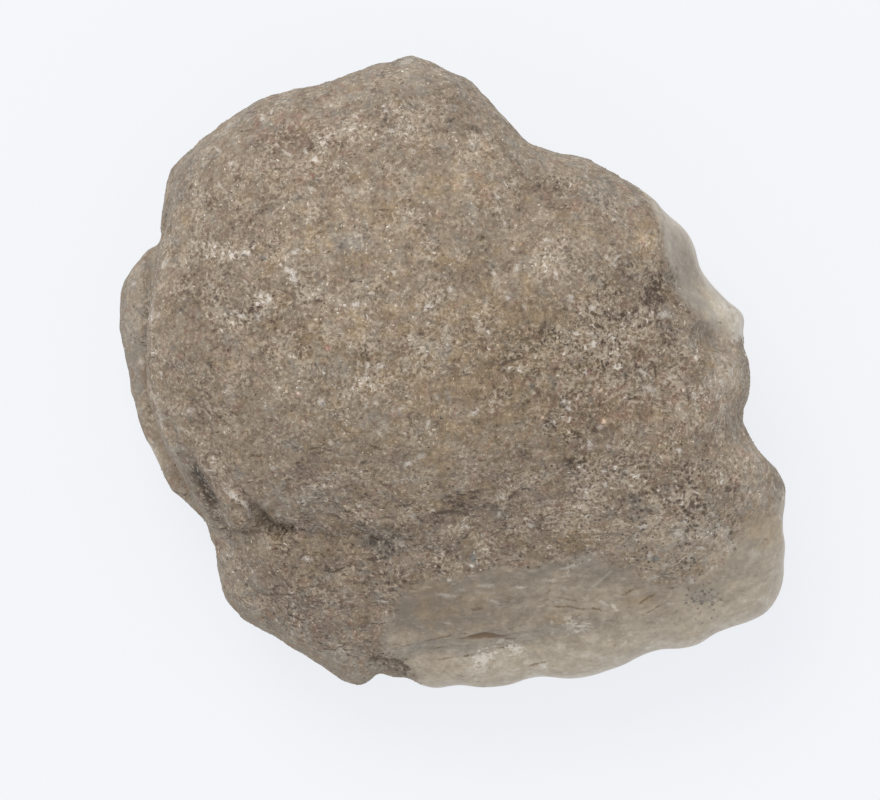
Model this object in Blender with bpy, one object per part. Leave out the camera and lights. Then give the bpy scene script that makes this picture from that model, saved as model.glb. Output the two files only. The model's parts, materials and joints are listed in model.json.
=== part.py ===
"""Agate geode: one closed nodule of gritty rind with smooth chalcedony bared along its south rim.

All sizes are in millimetres until the mesh is made. +Z is up, +X east and +Y north. The origin is on
the table, under the middle of the stone's outline.
"""

from itertools import product

import bmesh
import bpy
import numpy as np

MM = 0.001

# Driving dimensions.
TOP = 46.0
CROWN = (-4.0, 9.0)
DOME_RADIUS = (150.0, 215.0)
SOUTH_SLOPE_START = -6.0
SOUTH_SLOPE_SPAN = (-25, 30)
SOUTH_SLOPE = (0.72, 0.42)
SOUTH_SLOPE_SOFTNESS = 3.5
SOUTH_FOOT_START = -29.0
SOUTH_FOOT_RISE = 0.5
SOUTH_FOOT_SOFTNESS = 2.5
SPOT_CENTRE = (-1.0, -3.0)
SPOT_SINK = 1.3
UNDERSIDE_RADIUS = 110.0
FACES_PER_CUBE_EDGE = 28
RIM_ANGLE = 98.0
TOP_SQUARENESS = 3.9
UNDERSIDE_SQUARENESS = 2.7
HALF_WIDTH = 42.0
HALF_HEIGHT = 24.0
SECTION_STEPS = 600
LEAST_RISE = 3.5
LEAST_RISE_SOFTNESS = 1.0
OUTLINE_DETAIL_REACH = 0.3
OUTLINE_SMOOTHING = np.radians((-8, -4, 0, 4, 8))

# The outline from above, anticlockwise from the north knob, as (x, y) points.
OUTLINE = (
    (-5.6, 41.5), (-8.2, 40.7), (-16.0, 38.6), (-24.8, 36.3), (-29.3, 34.1), (-34.3, 30.4),
    (-37.6, 27.4), (-38.9, 22.4), (-39.9, 18.0), (-42.3, 15.5), (-44.6, 12.5), (-45.3, 6.9),
    (-44.0, 0.8), (-41.8, -8.2), (-39.9, -11.9), (-37.6, -16.3), (-35.2, -18.2), (-31.8, -23.1),
    (-31.5, -27.0), (-30.6, -30.7), (-28.4, -33.5), (-24.5, -35.8), (-17.5, -40.0), (-14.4, -42.1),
    (-12.0, -42.4), (-10.2, -41.0), (-7.7, -41.1), (-5.5, -41.3), (-3.5, -42.5), (1.5, -42.1),
    (7.9, -42.2), (10.6, -41.2), (16.5, -41.6), (21.9, -40.2), (27.5, -37.7), (33.0, -37.1),
    (35.5, -35.6), (43.6, -31.8), (44.9, -24.6), (44.4, -19.4), (43.7, -14.2), (40.4, -10.3),
    (38.6, -6.9), (40.0, -2.7), (39.2, 4.9), (39.1, 7.5), (37.1, 9.5), (34.0, 13.0),
    (32.2, 17.8), (27.9, 21.9), (21.1, 25.9), (17.2, 27.9), (12.1, 28.8), (9.3, 30.1),
    (7.4, 32.5), (4.3, 36.6), (1.8, 38.8), (-1.6, 40.2),
)

# How high the widest level stands, as (azimuth in degrees, height).
RIM_HEIGHTS = (
    (0, 18.0), (18, 19.0), (32, 20.0), (60, 22.0), (95, 23.0), (130, 23.0), (150, 19.0),
    (160, 14.0), (190, 13.0), (203, 16.0), (225, 14.0), (250, 14.0), (275, 14.0), (300, 14.5),
    (325, 15.5), (350, 17.0),
)

# Ledges: the ground right of each path, followed from its first point, lies lower by the drop, and the
# step between is as wide as its width.
WEST_LEDGE = ((-36.5, 24.0), (-38.9, 17.0), (-40.2, 6.0), (-40.0, -4.0), (-38.0, -10.0),
              (-34.2, -17.0), (-31.0, -22.5))
WEST_LEDGE_DROP = 19.0
WEST_LEDGE_WIDTH = 2.0
EAST_LEDGE = ((33.0, 2.0), (34.0, 6.5), (30.5, 11.5), (29.0, 17.0), (26.5, 23.0))
EAST_LEDGE_DROP = 7.0
EAST_LEDGE_WIDTH = 4.5
CHALCEDONY_LEDGE = ((-10.5, -41.0), (-8.0, -34.5), (-5.5, -30.5), (3.5, -27.3), (10.0, -26.8),
                    (17.0, -25.2), (23.0, -25.0), (28.0, -27.5), (34.0, -31.0), (38.0, -27.0),
                    (45.0, -23.0))
CHALCEDONY_LEDGE_DROP = 0.9
CHALCEDONY_LEDGE_WIDTH = 2.0
SOUTH_LEDGE = ((-9.0, -38.5), (-1.5, -36.4), (7.0, -36.0), (13.0, -34.5), (20.0, -34.0))
SOUTH_LEDGE_DROP = 1.6
SOUTH_LEDGE_WIDTH = 1.8
LEDGE_END = 0.14

# Humps (positive) and dips (negative): centre x and y, half-length, half-width, turn in degrees, height.
HUMPS = {
    "south-west lobe": (-22.0, -31.5, 9.5, 7.0, -35, 3.6),
    "east bulge": (33.5, -1.5, 7.0, 5.0, 80, 2.0),
    "east valley": (28.5, 9.5, 5.5, 2.8, -40, -2.2),
    "notch valley": (38.5, -8.0, 4.5, 2.6, 20, -2.2),
    "south-east shoulder": (31.0, -20.0, 11.0, 6.0, 25, 1.6),
    "south rim bulge": (3.0, -40.5, 6.5, 2.6, 0, 1.6),
    "west block": (-29.0, -19.5, 2.8, 2.2, -40, 1.4),
    "north-east saddle": (13.0, 25.0, 6.0, 5.0, 45, -1.6),
    "spur": (36.0, 8.0, 3.4, 2.4, -40, 1.6),
}

# Grooves: path, depth and half-width.
GROOVES = {
    "west groove": (((-36.5, -12.5), (-33.0, -18.0), (-30.6, -23.0)), 2.4, 1.5),
    "pit": (((-25.8, -19.6), (-23.6, -21.2)), 2.2, 1.7),
    "lobe crease": (((-30.0, -23.3), (-24.0, -21.6), (-16.0, -22.0), (-9.0, -23.0)), 1.3, 1.6),
    "rim notch": (((-9.0, -42.0), (-8.0, -39.5)), 1.6, 2.0),
}

# Broken faces on the flanks below the rim: azimuth and downward tilt in degrees, distance from the origin.
FLANK_FACES = (
    (-48, 40, 28.5), (6, 44, 25.0), (64, 36, 24.5), (118, 42, 21.0), (172, 40, 27.0), (232, 36, 32.0),
    (285, 46, 25.5),
)
FLANK_FACE_SOFTNESS = 1.0
FLANK_FACE_START = 2
FLANK_FACE_FADE = 4

# Rolling unevenness as (spacing, height, seed), and how much of it the rim goes without, over what height.
LUMPS = ((15.0, 1.1, 3), (7.0, 0.55, 8), (3.6, 0.22, 21))
LATTICE = 32
RIM_CALM = 0.85
RIM_CALM_REACH = 4.5

STONE_COLOUR = (0.29, 0.235, 0.18)
STONE_ROUGHNESS = 0.88


def smoothed_between(angle, known_angle, known_value):
    """A closed curve of values over the azimuth: each span is a cubic that meets its neighbours' slopes."""
    order = np.argsort(known_angle)
    turn = 2 * np.pi
    a = known_angle[order]
    v = known_value[order]
    a = np.concatenate([a[-3:] - turn, a, a[:3] + turn])
    v = np.concatenate([v[-3:], v, v[:3]])
    slope = np.gradient(v, a)
    angle = (angle - a[3]) % turn + a[3]
    i = np.clip(np.searchsorted(a, angle, side="right") - 1, 0, len(a) - 2)
    span = a[i + 1] - a[i]
    u = (angle - a[i]) / span
    ends = v[i] * (1 + 2 * u) * (1 - u) ** 2 + v[i + 1] * (3 - 2 * u) * u**2
    return ends + span * u * (1 - u) * (slope[i] * (1 - u) - slope[i + 1] * u)


def outline_radius(azimuth):
    """Distance from the middle to the outline in each direction."""
    x, y = np.array(OUTLINE).T
    return smoothed_between(azimuth, np.arctan2(y, x) % (2 * np.pi), np.hypot(x, y))


def rim_height(azimuth):
    """Height of the widest level in each direction."""
    degrees, height = np.array(RIM_HEIGHTS).T
    return smoothed_between(azimuth, np.radians(degrees), height)


def eased(u):
    """0 below 0, 1 above 1, and an S-curve between."""
    u = np.clip(u, 0, 1)
    return u * u * (3 - 2 * u)


def ramp(distance, softness):
    """The distance where it is positive and 0 where it is negative, with a soft bend between."""
    return softness * np.logaddexp(0, distance / softness)


def from_path(x, y, path):
    """Distance to a path, positive to its left, and how far along it the nearest point is, 0 to 1."""
    nearest = np.full(np.shape(x), np.inf)
    offset = np.zeros(np.shape(x))
    progress = np.zeros(np.shape(x))
    spans = len(path) - 1
    for i, ((ax, ay), (bx, by)) in enumerate(zip(path, path[1:])):
        dx, dy = bx - ax, by - ay
        along = np.clip(((x - ax) * dx + (y - ay) * dy) / (dx * dx + dy * dy), 0, 1)
        away = np.hypot(x - ax - along * dx, y - ay - along * dy)
        left = np.where(dx * (y - ay) - dy * (x - ax) >= 0, away, -away)
        closer = away < nearest
        offset = np.where(closer, left, offset)
        progress = np.where(closer, (i + along) / spans, progress)
        nearest = np.minimum(away, nearest)
    return offset, progress


def ledge(x, y, path, drop, width):
    """How much lower the ground is right of a path: an S-curve across it, fading out at its ends."""
    offset, progress = from_path(x, y, path)
    ends = eased(progress / LEDGE_END) * eased((1 - progress) / LEDGE_END)
    return drop * ends * eased(0.5 - offset / width)


def hump(x, y, place):
    """A round-topped bell over an ellipse, turned by an angle."""
    cx, cy, half_length, half_width, turn, height = place
    c, s = np.cos(np.radians(turn)), np.sin(np.radians(turn))
    u = ((x - cx) * c + (y - cy) * s) / half_length
    v = ((y - cy) * c - (x - cx) * s) / half_width
    return height * np.exp(-(u * u + v * v))


def groove(x, y, path, depth, half_width):
    """A bell-shaped furrow along a path."""
    offset, _ = from_path(x, y, path)
    return depth * np.exp(-((offset / half_width) ** 2))


def lumps(points, spacing, seed):
    """Smooth random values from -1 to 1: a seeded lattice, eased between its eight nearest values."""
    lattice = np.random.default_rng(seed).uniform(-1, 1, (LATTICE, LATTICE, LATTICE))
    cell = np.floor(points / spacing).astype(int)
    part = eased(points / spacing - cell)
    total = np.zeros(points.shape[:-1])
    for corner in product((0, 1), repeat=3):
        weight = np.prod(np.where(corner, part, 1 - part), axis=-1)
        i, j, k = np.moveaxis((cell + corner) % LATTICE, -1, 0)
        total += weight * lattice[i, j, k]
    return total


def ground(x, y):
    """Height of the upper surface over the plan: a dome, the south slope, ledges, humps and grooves."""
    z = TOP - (x - CROWN[0]) ** 2 / (2 * DOME_RADIUS[0]) - (y - CROWN[1]) ** 2 / (2 * DOME_RADIUS[1])
    steepness = np.interp(x, SOUTH_SLOPE_SPAN, SOUTH_SLOPE)
    z -= steepness * ramp(SOUTH_SLOPE_START - y, SOUTH_SLOPE_SOFTNESS)
    z += SOUTH_FOOT_RISE * ramp(SOUTH_FOOT_START - y, SOUTH_FOOT_SOFTNESS)
    z -= ledge(x, y, WEST_LEDGE, WEST_LEDGE_DROP, WEST_LEDGE_WIDTH)
    z -= ledge(x, y, EAST_LEDGE, EAST_LEDGE_DROP, EAST_LEDGE_WIDTH)
    z -= ledge(x, y, CHALCEDONY_LEDGE, CHALCEDONY_LEDGE_DROP, CHALCEDONY_LEDGE_WIDTH)
    z -= ledge(x, y, SOUTH_LEDGE, SOUTH_LEDGE_DROP, SOUTH_LEDGE_WIDTH)
    for place in HUMPS.values():
        z += hump(x, y, place)
    for path, depth, half_width in GROOVES.values():
        z -= groove(x, y, path, depth, half_width)
    return z


def section(fall, squareness):
    """A quarter of a super-ellipse walked at an even pace: reach from the axis and rise, both 0 to 1."""
    angle = (np.linspace(0, 1, SECTION_STEPS) ** 2) * np.pi / 2
    reach = np.sin(angle) ** (2 / squareness)
    rise = np.maximum(np.cos(angle), 0) ** (2 / squareness)
    step = np.hypot(np.diff(reach) * HALF_WIDTH, np.diff(rise) * HALF_HEIGHT)
    walked = np.concatenate([[0], np.cumsum(step)])
    walked /= walked[-1]
    return np.interp(fall, walked, reach), np.interp(fall, walked, rise)


def stone_surface(azimuth, fall):
    """Points of the stone. `fall` is 0 at the crown, 1 at the rim and 2 under the middle.

    Above the rim the height runs from the rim to the ground by a super-ellipse, and below it from
    the rim to a shallow bowl, whose part under the table is cut off flat. The outline's small bays
    fade away from the rim. Lumps then push the points out or in, less so at the rim, and the broken
    faces cut the flanks below it.
    """
    upper = fall <= 1
    reach_up, rise_up = section(np.minimum(fall, 1), TOP_SQUARENESS)
    reach_down, rise_down = section(np.minimum(2 - fall, 1), UNDERSIDE_SQUARENESS)
    reach = np.where(upper, reach_up, reach_down)
    rise = np.where(upper, rise_up, rise_down)
    broad = np.mean([outline_radius(azimuth + turn) for turn in OUTLINE_SMOOTHING], axis=0)
    near_rim = np.exp(-(((fall - 1) / OUTLINE_DETAIL_REACH) ** 2))
    radius = (broad + (outline_radius(azimuth) - broad) * near_rim) * reach
    x, y = radius * np.cos(azimuth), radius * np.sin(azimuth)
    rim = rim_height(azimuth)
    bowl = ((x - SPOT_CENTRE[0]) ** 2 + (y - SPOT_CENTRE[1]) ** 2) / (2 * UNDERSIDE_RADIUS) - SPOT_SINK
    crest = LEAST_RISE + ramp(ground(x, y) - rim - LEAST_RISE, LEAST_RISE_SOFTNESS)
    z = rim + np.where(upper, crest, bowl - rim) * rise
    points = np.stack([x, y, z], axis=-1)

    squareness = np.where(upper, TOP_SQUARENESS, UNDERSIDE_SQUARENESS)
    outward = reach ** (squareness - 1) / HALF_WIDTH
    upward = np.where(upper, 1, -1) * rise ** (squareness - 1) / HALF_HEIGHT
    way = np.stack([np.cos(azimuth) * outward, np.sin(azimuth) * outward, upward], axis=-1)
    way /= np.linalg.norm(way, axis=-1, keepdims=True)
    off_rim = 1 - RIM_CALM * np.exp(-(((z - rim) / RIM_CALM_REACH) ** 2))
    push = sum(height * lumps(points, spacing, seed) for spacing, height, seed in LUMPS)
    points = points + way * (push * off_rim)[..., None]

    below = eased((rim - FLANK_FACE_START - points[..., 2]) / FLANK_FACE_FADE)
    for degrees, tilt, distance in FLANK_FACES:
        a, t = np.radians(degrees), np.radians(tilt)
        normal = np.array([np.cos(a) * np.cos(t), np.sin(a) * np.cos(t), -np.sin(t)])
        past = ramp(points @ normal - distance, FLANK_FACE_SOFTNESS)
        points = points - normal * (past * below)[..., None]
    points[..., 2] = np.maximum(points[..., 2], 0)
    return points


def material(name, colour, roughness):
    """A Principled material with one colour."""
    made = bpy.data.materials.new(name)
    made.use_nodes = True
    shader = made.node_tree.nodes["Principled BSDF"]
    shader.inputs["Base Color"].default_value = (*colour, 1)
    shader.inputs["Roughness"].default_value = roughness
    shader.inputs["Metallic"].default_value = 0
    return made


def make_stone(collection):
    """The nodule: a cube cut into squares, each corner sent to its own azimuth and fall."""
    bm = bmesh.new()
    bmesh.ops.create_cube(bm, size=2)
    bmesh.ops.subdivide_edges(bm, edges=bm.edges[:], cuts=FACES_PER_CUBE_EDGE - 1, use_grid_fill=True)
    mesh = bpy.data.meshes.new("stone")
    bm.to_mesh(mesh)
    bm.free()

    corners = np.empty(len(mesh.vertices) * 3)
    mesh.vertices.foreach_get("co", corners)
    x, y, z = np.tan(corners.reshape(-1, 3) * np.pi / 4).T
    from_crown = np.degrees(np.arctan2(np.hypot(x, y), z))
    above = from_crown / RIM_ANGLE
    under = (180 - from_crown) / (180 - RIM_ANGLE)
    fall = np.where(from_crown <= RIM_ANGLE, above, 2 - under)
    points = stone_surface(np.arctan2(y, x), fall) * MM
    mesh.vertices.foreach_set("co", points.ravel())
    mesh.shade_smooth()
    mesh.materials.append(material("stone", STONE_COLOUR, STONE_ROUGHNESS))

    stone = bpy.data.objects.new("stone", mesh)
    collection.objects.link(stone)


def main():
    for old in list(bpy.data.objects):
        bpy.data.objects.remove(old, do_unlink=True)
    collection = bpy.data.collections.new("agate geode")
    bpy.context.scene.collection.children.link(collection)
    make_stone(collection)


main()
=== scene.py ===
"""Agate geode: the nodule's gritty rind and bared chalcedony, with its stage.

The mesh code works in millimetres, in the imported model's frame: +Z up, +X east, +Y north, the origin on
the table. Meshes are written in metres.
"""

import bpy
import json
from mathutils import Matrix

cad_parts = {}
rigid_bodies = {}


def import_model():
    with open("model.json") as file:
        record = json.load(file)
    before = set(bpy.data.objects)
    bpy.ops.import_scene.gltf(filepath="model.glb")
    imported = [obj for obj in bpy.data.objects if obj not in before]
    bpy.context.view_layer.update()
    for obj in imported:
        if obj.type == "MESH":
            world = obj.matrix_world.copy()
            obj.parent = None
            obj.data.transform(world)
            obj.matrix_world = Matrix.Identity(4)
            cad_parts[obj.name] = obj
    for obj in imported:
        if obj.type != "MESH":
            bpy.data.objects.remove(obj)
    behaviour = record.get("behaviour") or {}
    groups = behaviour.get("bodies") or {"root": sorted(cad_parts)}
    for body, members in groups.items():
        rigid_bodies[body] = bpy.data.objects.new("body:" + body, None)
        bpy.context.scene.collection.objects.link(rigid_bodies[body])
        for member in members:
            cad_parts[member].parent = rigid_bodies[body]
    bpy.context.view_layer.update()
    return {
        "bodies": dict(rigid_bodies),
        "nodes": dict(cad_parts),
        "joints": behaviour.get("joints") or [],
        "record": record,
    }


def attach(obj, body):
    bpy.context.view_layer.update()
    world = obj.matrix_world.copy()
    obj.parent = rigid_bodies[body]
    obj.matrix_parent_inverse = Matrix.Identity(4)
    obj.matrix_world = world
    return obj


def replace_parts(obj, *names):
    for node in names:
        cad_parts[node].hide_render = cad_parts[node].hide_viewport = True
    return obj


bl_info = {
    "name": "Agate Geode",
    "version": (1, 0, 0),
    "blender": (4, 5, 0),
    "location": "3D View > Sidebar > Geode",
    "description": "Builds a closed agate geode with a gritty rind and bare chalcedony at its rim",
    "category": "Add Mesh",
}

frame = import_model()

import json
from itertools import product

import bpy
import numpy as np
from bpy.props import FloatProperty, FloatVectorProperty, IntProperty, PointerProperty
from bpy.types import Operator, Panel, PropertyGroup

BODY = "root"
NODE = "stone"
MM = 0.001

# The stone's form, as the solid has it.
TOP = 46.0
CROWN = (-4.0, 9.0)
DOME_RADIUS = (150.0, 215.0)
SOUTH_SLOPE_START = -6.0
SOUTH_SLOPE_SPAN = (-25, 30)
SOUTH_SLOPE = (0.72, 0.42)
SOUTH_SLOPE_SOFTNESS = 3.5
SOUTH_FOOT_START = -29.0
SOUTH_FOOT_RISE = 0.5
SOUTH_FOOT_SOFTNESS = 2.5
SPOT_CENTRE = (-1.0, -3.0)
SPOT_SINK = 1.3
UNDERSIDE_RADIUS = 110.0
TOP_SQUARENESS = 3.9
UNDERSIDE_SQUARENESS = 2.7
HALF_WIDTH = 42.0
HALF_HEIGHT = 24.0
SECTION_STEPS = 600
LEAST_RISE = 3.5
LEAST_RISE_SOFTNESS = 1.0
OUTLINE_DETAIL_REACH = 0.3
OUTLINE_SMOOTHING = np.radians((-8, -4, 0, 4, 8))

# The outline seen from above, and the height of the widest level by azimuth in degrees.
OUTLINE = (
    (-5.6, 41.5), (-8.2, 40.7), (-16.0, 38.6), (-24.8, 36.3), (-29.3, 34.1), (-34.3, 30.4),
    (-37.6, 27.4), (-38.9, 22.4), (-39.9, 18.0), (-42.3, 15.5), (-44.6, 12.5), (-45.3, 6.9),
    (-44.0, 0.8), (-41.8, -8.2), (-39.9, -11.9), (-37.6, -16.3), (-35.2, -18.2), (-31.8, -23.1),
    (-31.5, -27.0), (-30.6, -30.7), (-28.4, -33.5), (-24.5, -35.8), (-17.5, -40.0), (-14.4, -42.1),
    (-12.0, -42.4), (-10.2, -41.0), (-7.7, -41.1), (-5.5, -41.3), (-3.5, -42.5), (1.5, -42.1),
    (7.9, -42.2), (10.6, -41.2), (16.5, -41.6), (21.9, -40.2), (27.5, -37.7), (33.0, -37.1),
    (35.5, -35.6), (43.6, -31.8), (44.9, -24.6), (44.4, -19.4), (43.7, -14.2), (40.4, -10.3),
    (38.6, -6.9), (40.0, -2.7), (39.2, 4.9), (39.1, 7.5), (37.1, 9.5), (34.0, 13.0),
    (32.2, 17.8), (27.9, 21.9), (21.1, 25.9), (17.2, 27.9), (12.1, 28.8), (9.3, 30.1),
    (7.4, 32.5), (4.3, 36.6), (1.8, 38.8), (-1.6, 40.2),
)
RIM_HEIGHTS = (
    (0, 18.0), (18, 19.0), (32, 20.0), (60, 22.0), (95, 23.0), (130, 23.0), (150, 19.0),
    (160, 14.0), (190, 13.0), (203, 16.0), (225, 14.0), (250, 14.0), (275, 14.0), (300, 14.5),
    (325, 15.5), (350, 17.0),
)

# Ledges, as (path, drop, width): the ground right of the path is lower.
WEST_LEDGE = ((-36.5, 24.0), (-38.9, 17.0), (-40.2, 6.0), (-40.0, -4.0), (-38.0, -10.0),
              (-34.2, -17.0), (-31.0, -22.5))
WEST_LEDGE_WIDTH = 1.4
LEDGES = {
    "west": (WEST_LEDGE, 19.0, WEST_LEDGE_WIDTH),
    "east": (((33.0, 2.0), (34.0, 6.5), (30.5, 11.5), (29.0, 17.0), (26.5, 23.0)), 7.0, 4.5),
    "chalcedony": (
        ((-10.5, -41.0), (-8.0, -34.5), (-5.5, -30.5), (3.5, -27.3), (10.0, -26.8), (17.0, -25.2),
         (23.0, -25.0), (28.0, -27.5), (34.0, -31.0), (38.0, -27.0), (45.0, -23.0)),
        0.9, 2.0),
    "south": (((-9.0, -38.5), (-1.5, -36.4), (7.0, -36.0), (13.0, -34.5), (20.0, -34.0)), 1.6, 1.8),
}
LEDGE_END = 0.14

# Humps, as (x, y, half length, half width, turn, height), and grooves, as (path, depth, half width).
HUMPS = {
    "south-west lobe": (-22.0, -31.5, 9.5, 7.0, -35, 3.6),
    "east bulge": (33.5, -1.5, 7.0, 5.0, 80, 2.0),
    "east valley": (28.5, 9.5, 5.5, 2.8, -40, -2.2),
    "notch valley": (38.5, -8.0, 4.5, 2.6, 20, -2.2),
    "south-east shoulder": (31.0, -20.0, 11.0, 6.0, 25, 1.6),
    "south rim bulge": (3.0, -40.5, 6.5, 2.6, 0, 1.6),
    "west block": (-29.0, -19.5, 2.8, 2.2, -40, 1.4),
    "north-east saddle": (13.0, 25.0, 6.0, 5.0, 45, -1.6),
    "spur": (36.0, 8.0, 3.4, 2.4, -40, 1.6),
}
GROOVES = {
    "west groove": (((-36.5, -12.5), (-33.0, -18.0), (-30.6, -23.0)), 2.4, 1.5),
    "pit": (((-25.8, -19.4), (-23.4, -21.0)), 1.6, 1.2),
    "lobe crease": (((-30.0, -23.3), (-24.0, -21.6), (-16.0, -22.0), (-9.0, -23.0)), 1.3, 1.6),
    "rim notch": (((-9.0, -42.0), (-8.0, -39.5)), 1.6, 2.0),
}

# Broken faces that cut the lower flank, as (azimuth, tilt, distance), and the lumps, as (spacing, height,
# seed), which are calmer at the rim.
FLANK_FACES = (
    (-48, 40, 28.5), (6, 44, 25.0), (64, 36, 24.5), (118, 42, 21.0), (172, 40, 27.0), (232, 36, 32.0),
    (285, 46, 25.5),
)
FLANK_FACE_SOFTNESS = 1.0
FLANK_FACE_START = 2
FLANK_FACE_FADE = 4
LUMPS = ((15.0, 1.1, 3), (7.0, 0.55, 8), (3.6, 0.22, 21))
LATTICE = 32
RIM_CALM = 0.85
RIM_CALM_REACH = 4.5

# The fine mesh: squares along a cube's edge, and how far round from the crown the rim lies on the cube.
FINE_EDGE = 128
FINE_RIM_ANGLE = 118.0

# Fine relief, as (spacing, height, seed): grit lumps on the rind, waves on the bare chalcedony, and flaky
# ridges on the south slope, three times as long as they are wide.
RIND_RELIEF = ((2.6, 0.16, 31), (1.4, 0.13, 32), (0.8, 0.07, 33))
RIND_SINK = 0.08
CHALCEDONY_RELIEF = ((4.0, 0.16, 41), (1.8, 0.05, 42))
FLAKE_RELIEF = ((2.0, 0.22, 45), (1.2, 0.14, 46))
FLAKE_STRETCH = 3.0

# How much calmer the rind is on the west wall, and the band of bare distance in which the chalcedony's waves
# take over from the rind's lumps.
WALL_CALM = 0.85
BARE_EDGE = (-0.5, 0.5)

# Furrows, as (path, depth, half width). The deepest make the hollow, which is wider and fades at its ends.
FURROWS = (
    (((-37.0, 0.0), (-35.5, -6.0), (-32.5, -11.0), (-28.6, -16.0)), 0.45, 0.5),
    (((-35.5, -1.0), (-33.5, -8.0), (-30.5, -12.5), (-26.8, -17.5)), 0.40, 0.45),
    (((-37.6, -7.0), (-35.6, -11.0), (-32.2, -15.2)), 0.40, 0.5),
    (((-33.0, -5.5), (-31.0, -10.5), (-28.2, -14.0)), 0.30, 0.4),
    (((-35.8, -11.4), (-34.4, -14.0), (-32.4, -17.3), (-30.8, -21.5)), 0.9, 0.9),
    (((-26.3, -18.4), (-25.4, -19.4), (-24.6, -20.6), (-23.6, -21.2), (-21.6, -21.2)), 0.9, 0.65),
    (((-23.2, -21.4), (-17.0, -21.9), (-9.0, -22.6)), 0.4, 0.35),
    (((-31.0, -22.0), (-27.0, -21.6), (-24.5, -21.4)), 0.4, 0.35),
    (((-18.0, -11.2), (-15.2, -10.3), (-13.8, -9.6)), 0.3, 0.3),
    (((5.2, 0.4), (6.8, 1.0), (8.6, 1.3)), 0.3, 0.3),
    (((-39.9, 18.5), (-41.2, 12.0), (-41.5, 4.0), (-41.2, -4.0), (-39.4, -10.0)), 0.5, 0.5),
)
HOLLOW_LEAST_DEPTH = 0.8
HOLLOW_END = 0.35
HOLLOW_SPREAD = 1.4

# Where the zones start and where they are full: heights, or places along x, y and z.
UPPER_SIDE = (5, 10)
FACING_UP = (0.12, 0.42)
FLAKY_SLOPE = ((24, 16), (-10, -16), (14, 22))
SHELF_ENDS = ((20, 16), (-16, -10))
# RIM_REACH, LOW_FLANK and LOW_FLANK_SHARE place the painted rim light: full at the outline, and half as much
# low on the flank.
RIM_REACH = (0.78, 1)
LOW_FLANK = (13, 4)
LOW_FLANK_SHARE = 0.5
WORN_LEVELS = (27, 17)
SHELF_WEAR = 0.9

# Where the rind ends: bare chalcedony lies right of the south edge and left of the east one.
SOUTH_RIND_EDGE = (
    (-3.4, -44.5), (-4.3, -41.6), (-6.0, -39.6), (-9.0, -38.0), (-9.3, -36.0), (-8.6, -33.5),
    (-7.4, -30.6), (-4.4, -28.0), (0.0, -26.8), (4.6, -26.5), (9.4, -26.7), (14.4, -25.6), (18.3, -24.9),
    (22.3, -25.8), (26.3, -27.6), (31.7, -28.2), (35.7, -26.2), (38.1, -22.6), (39.9, -19.2),
    (46.0, -16.5),
)
EAST_RIND_EDGE = (
    (25.4, 23.8), (26.8, 20.8), (27.6, 16.1), (29.2, 11.2), (32.0, 8.2), (34.2, 5.8), (38.0, 4.0),
    (41.0, 3.6),
)
EAST_RIND_EDGE_START = 20
EDGE_REACH = 3
UNDER_EDGE_LEVELS = (16, 3)
UNDER_EDGE_SHIFT = (10.0, 6.0)
EDGE_WANDER = ((3.2, 0.7, 51), (1.3, 0.4, 52))
LOW_WANDER_LEVELS = (25, 10)
LOW_WANDER = ((8.0, 4.0, 53), (4.0, 2.0, 54))

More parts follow.
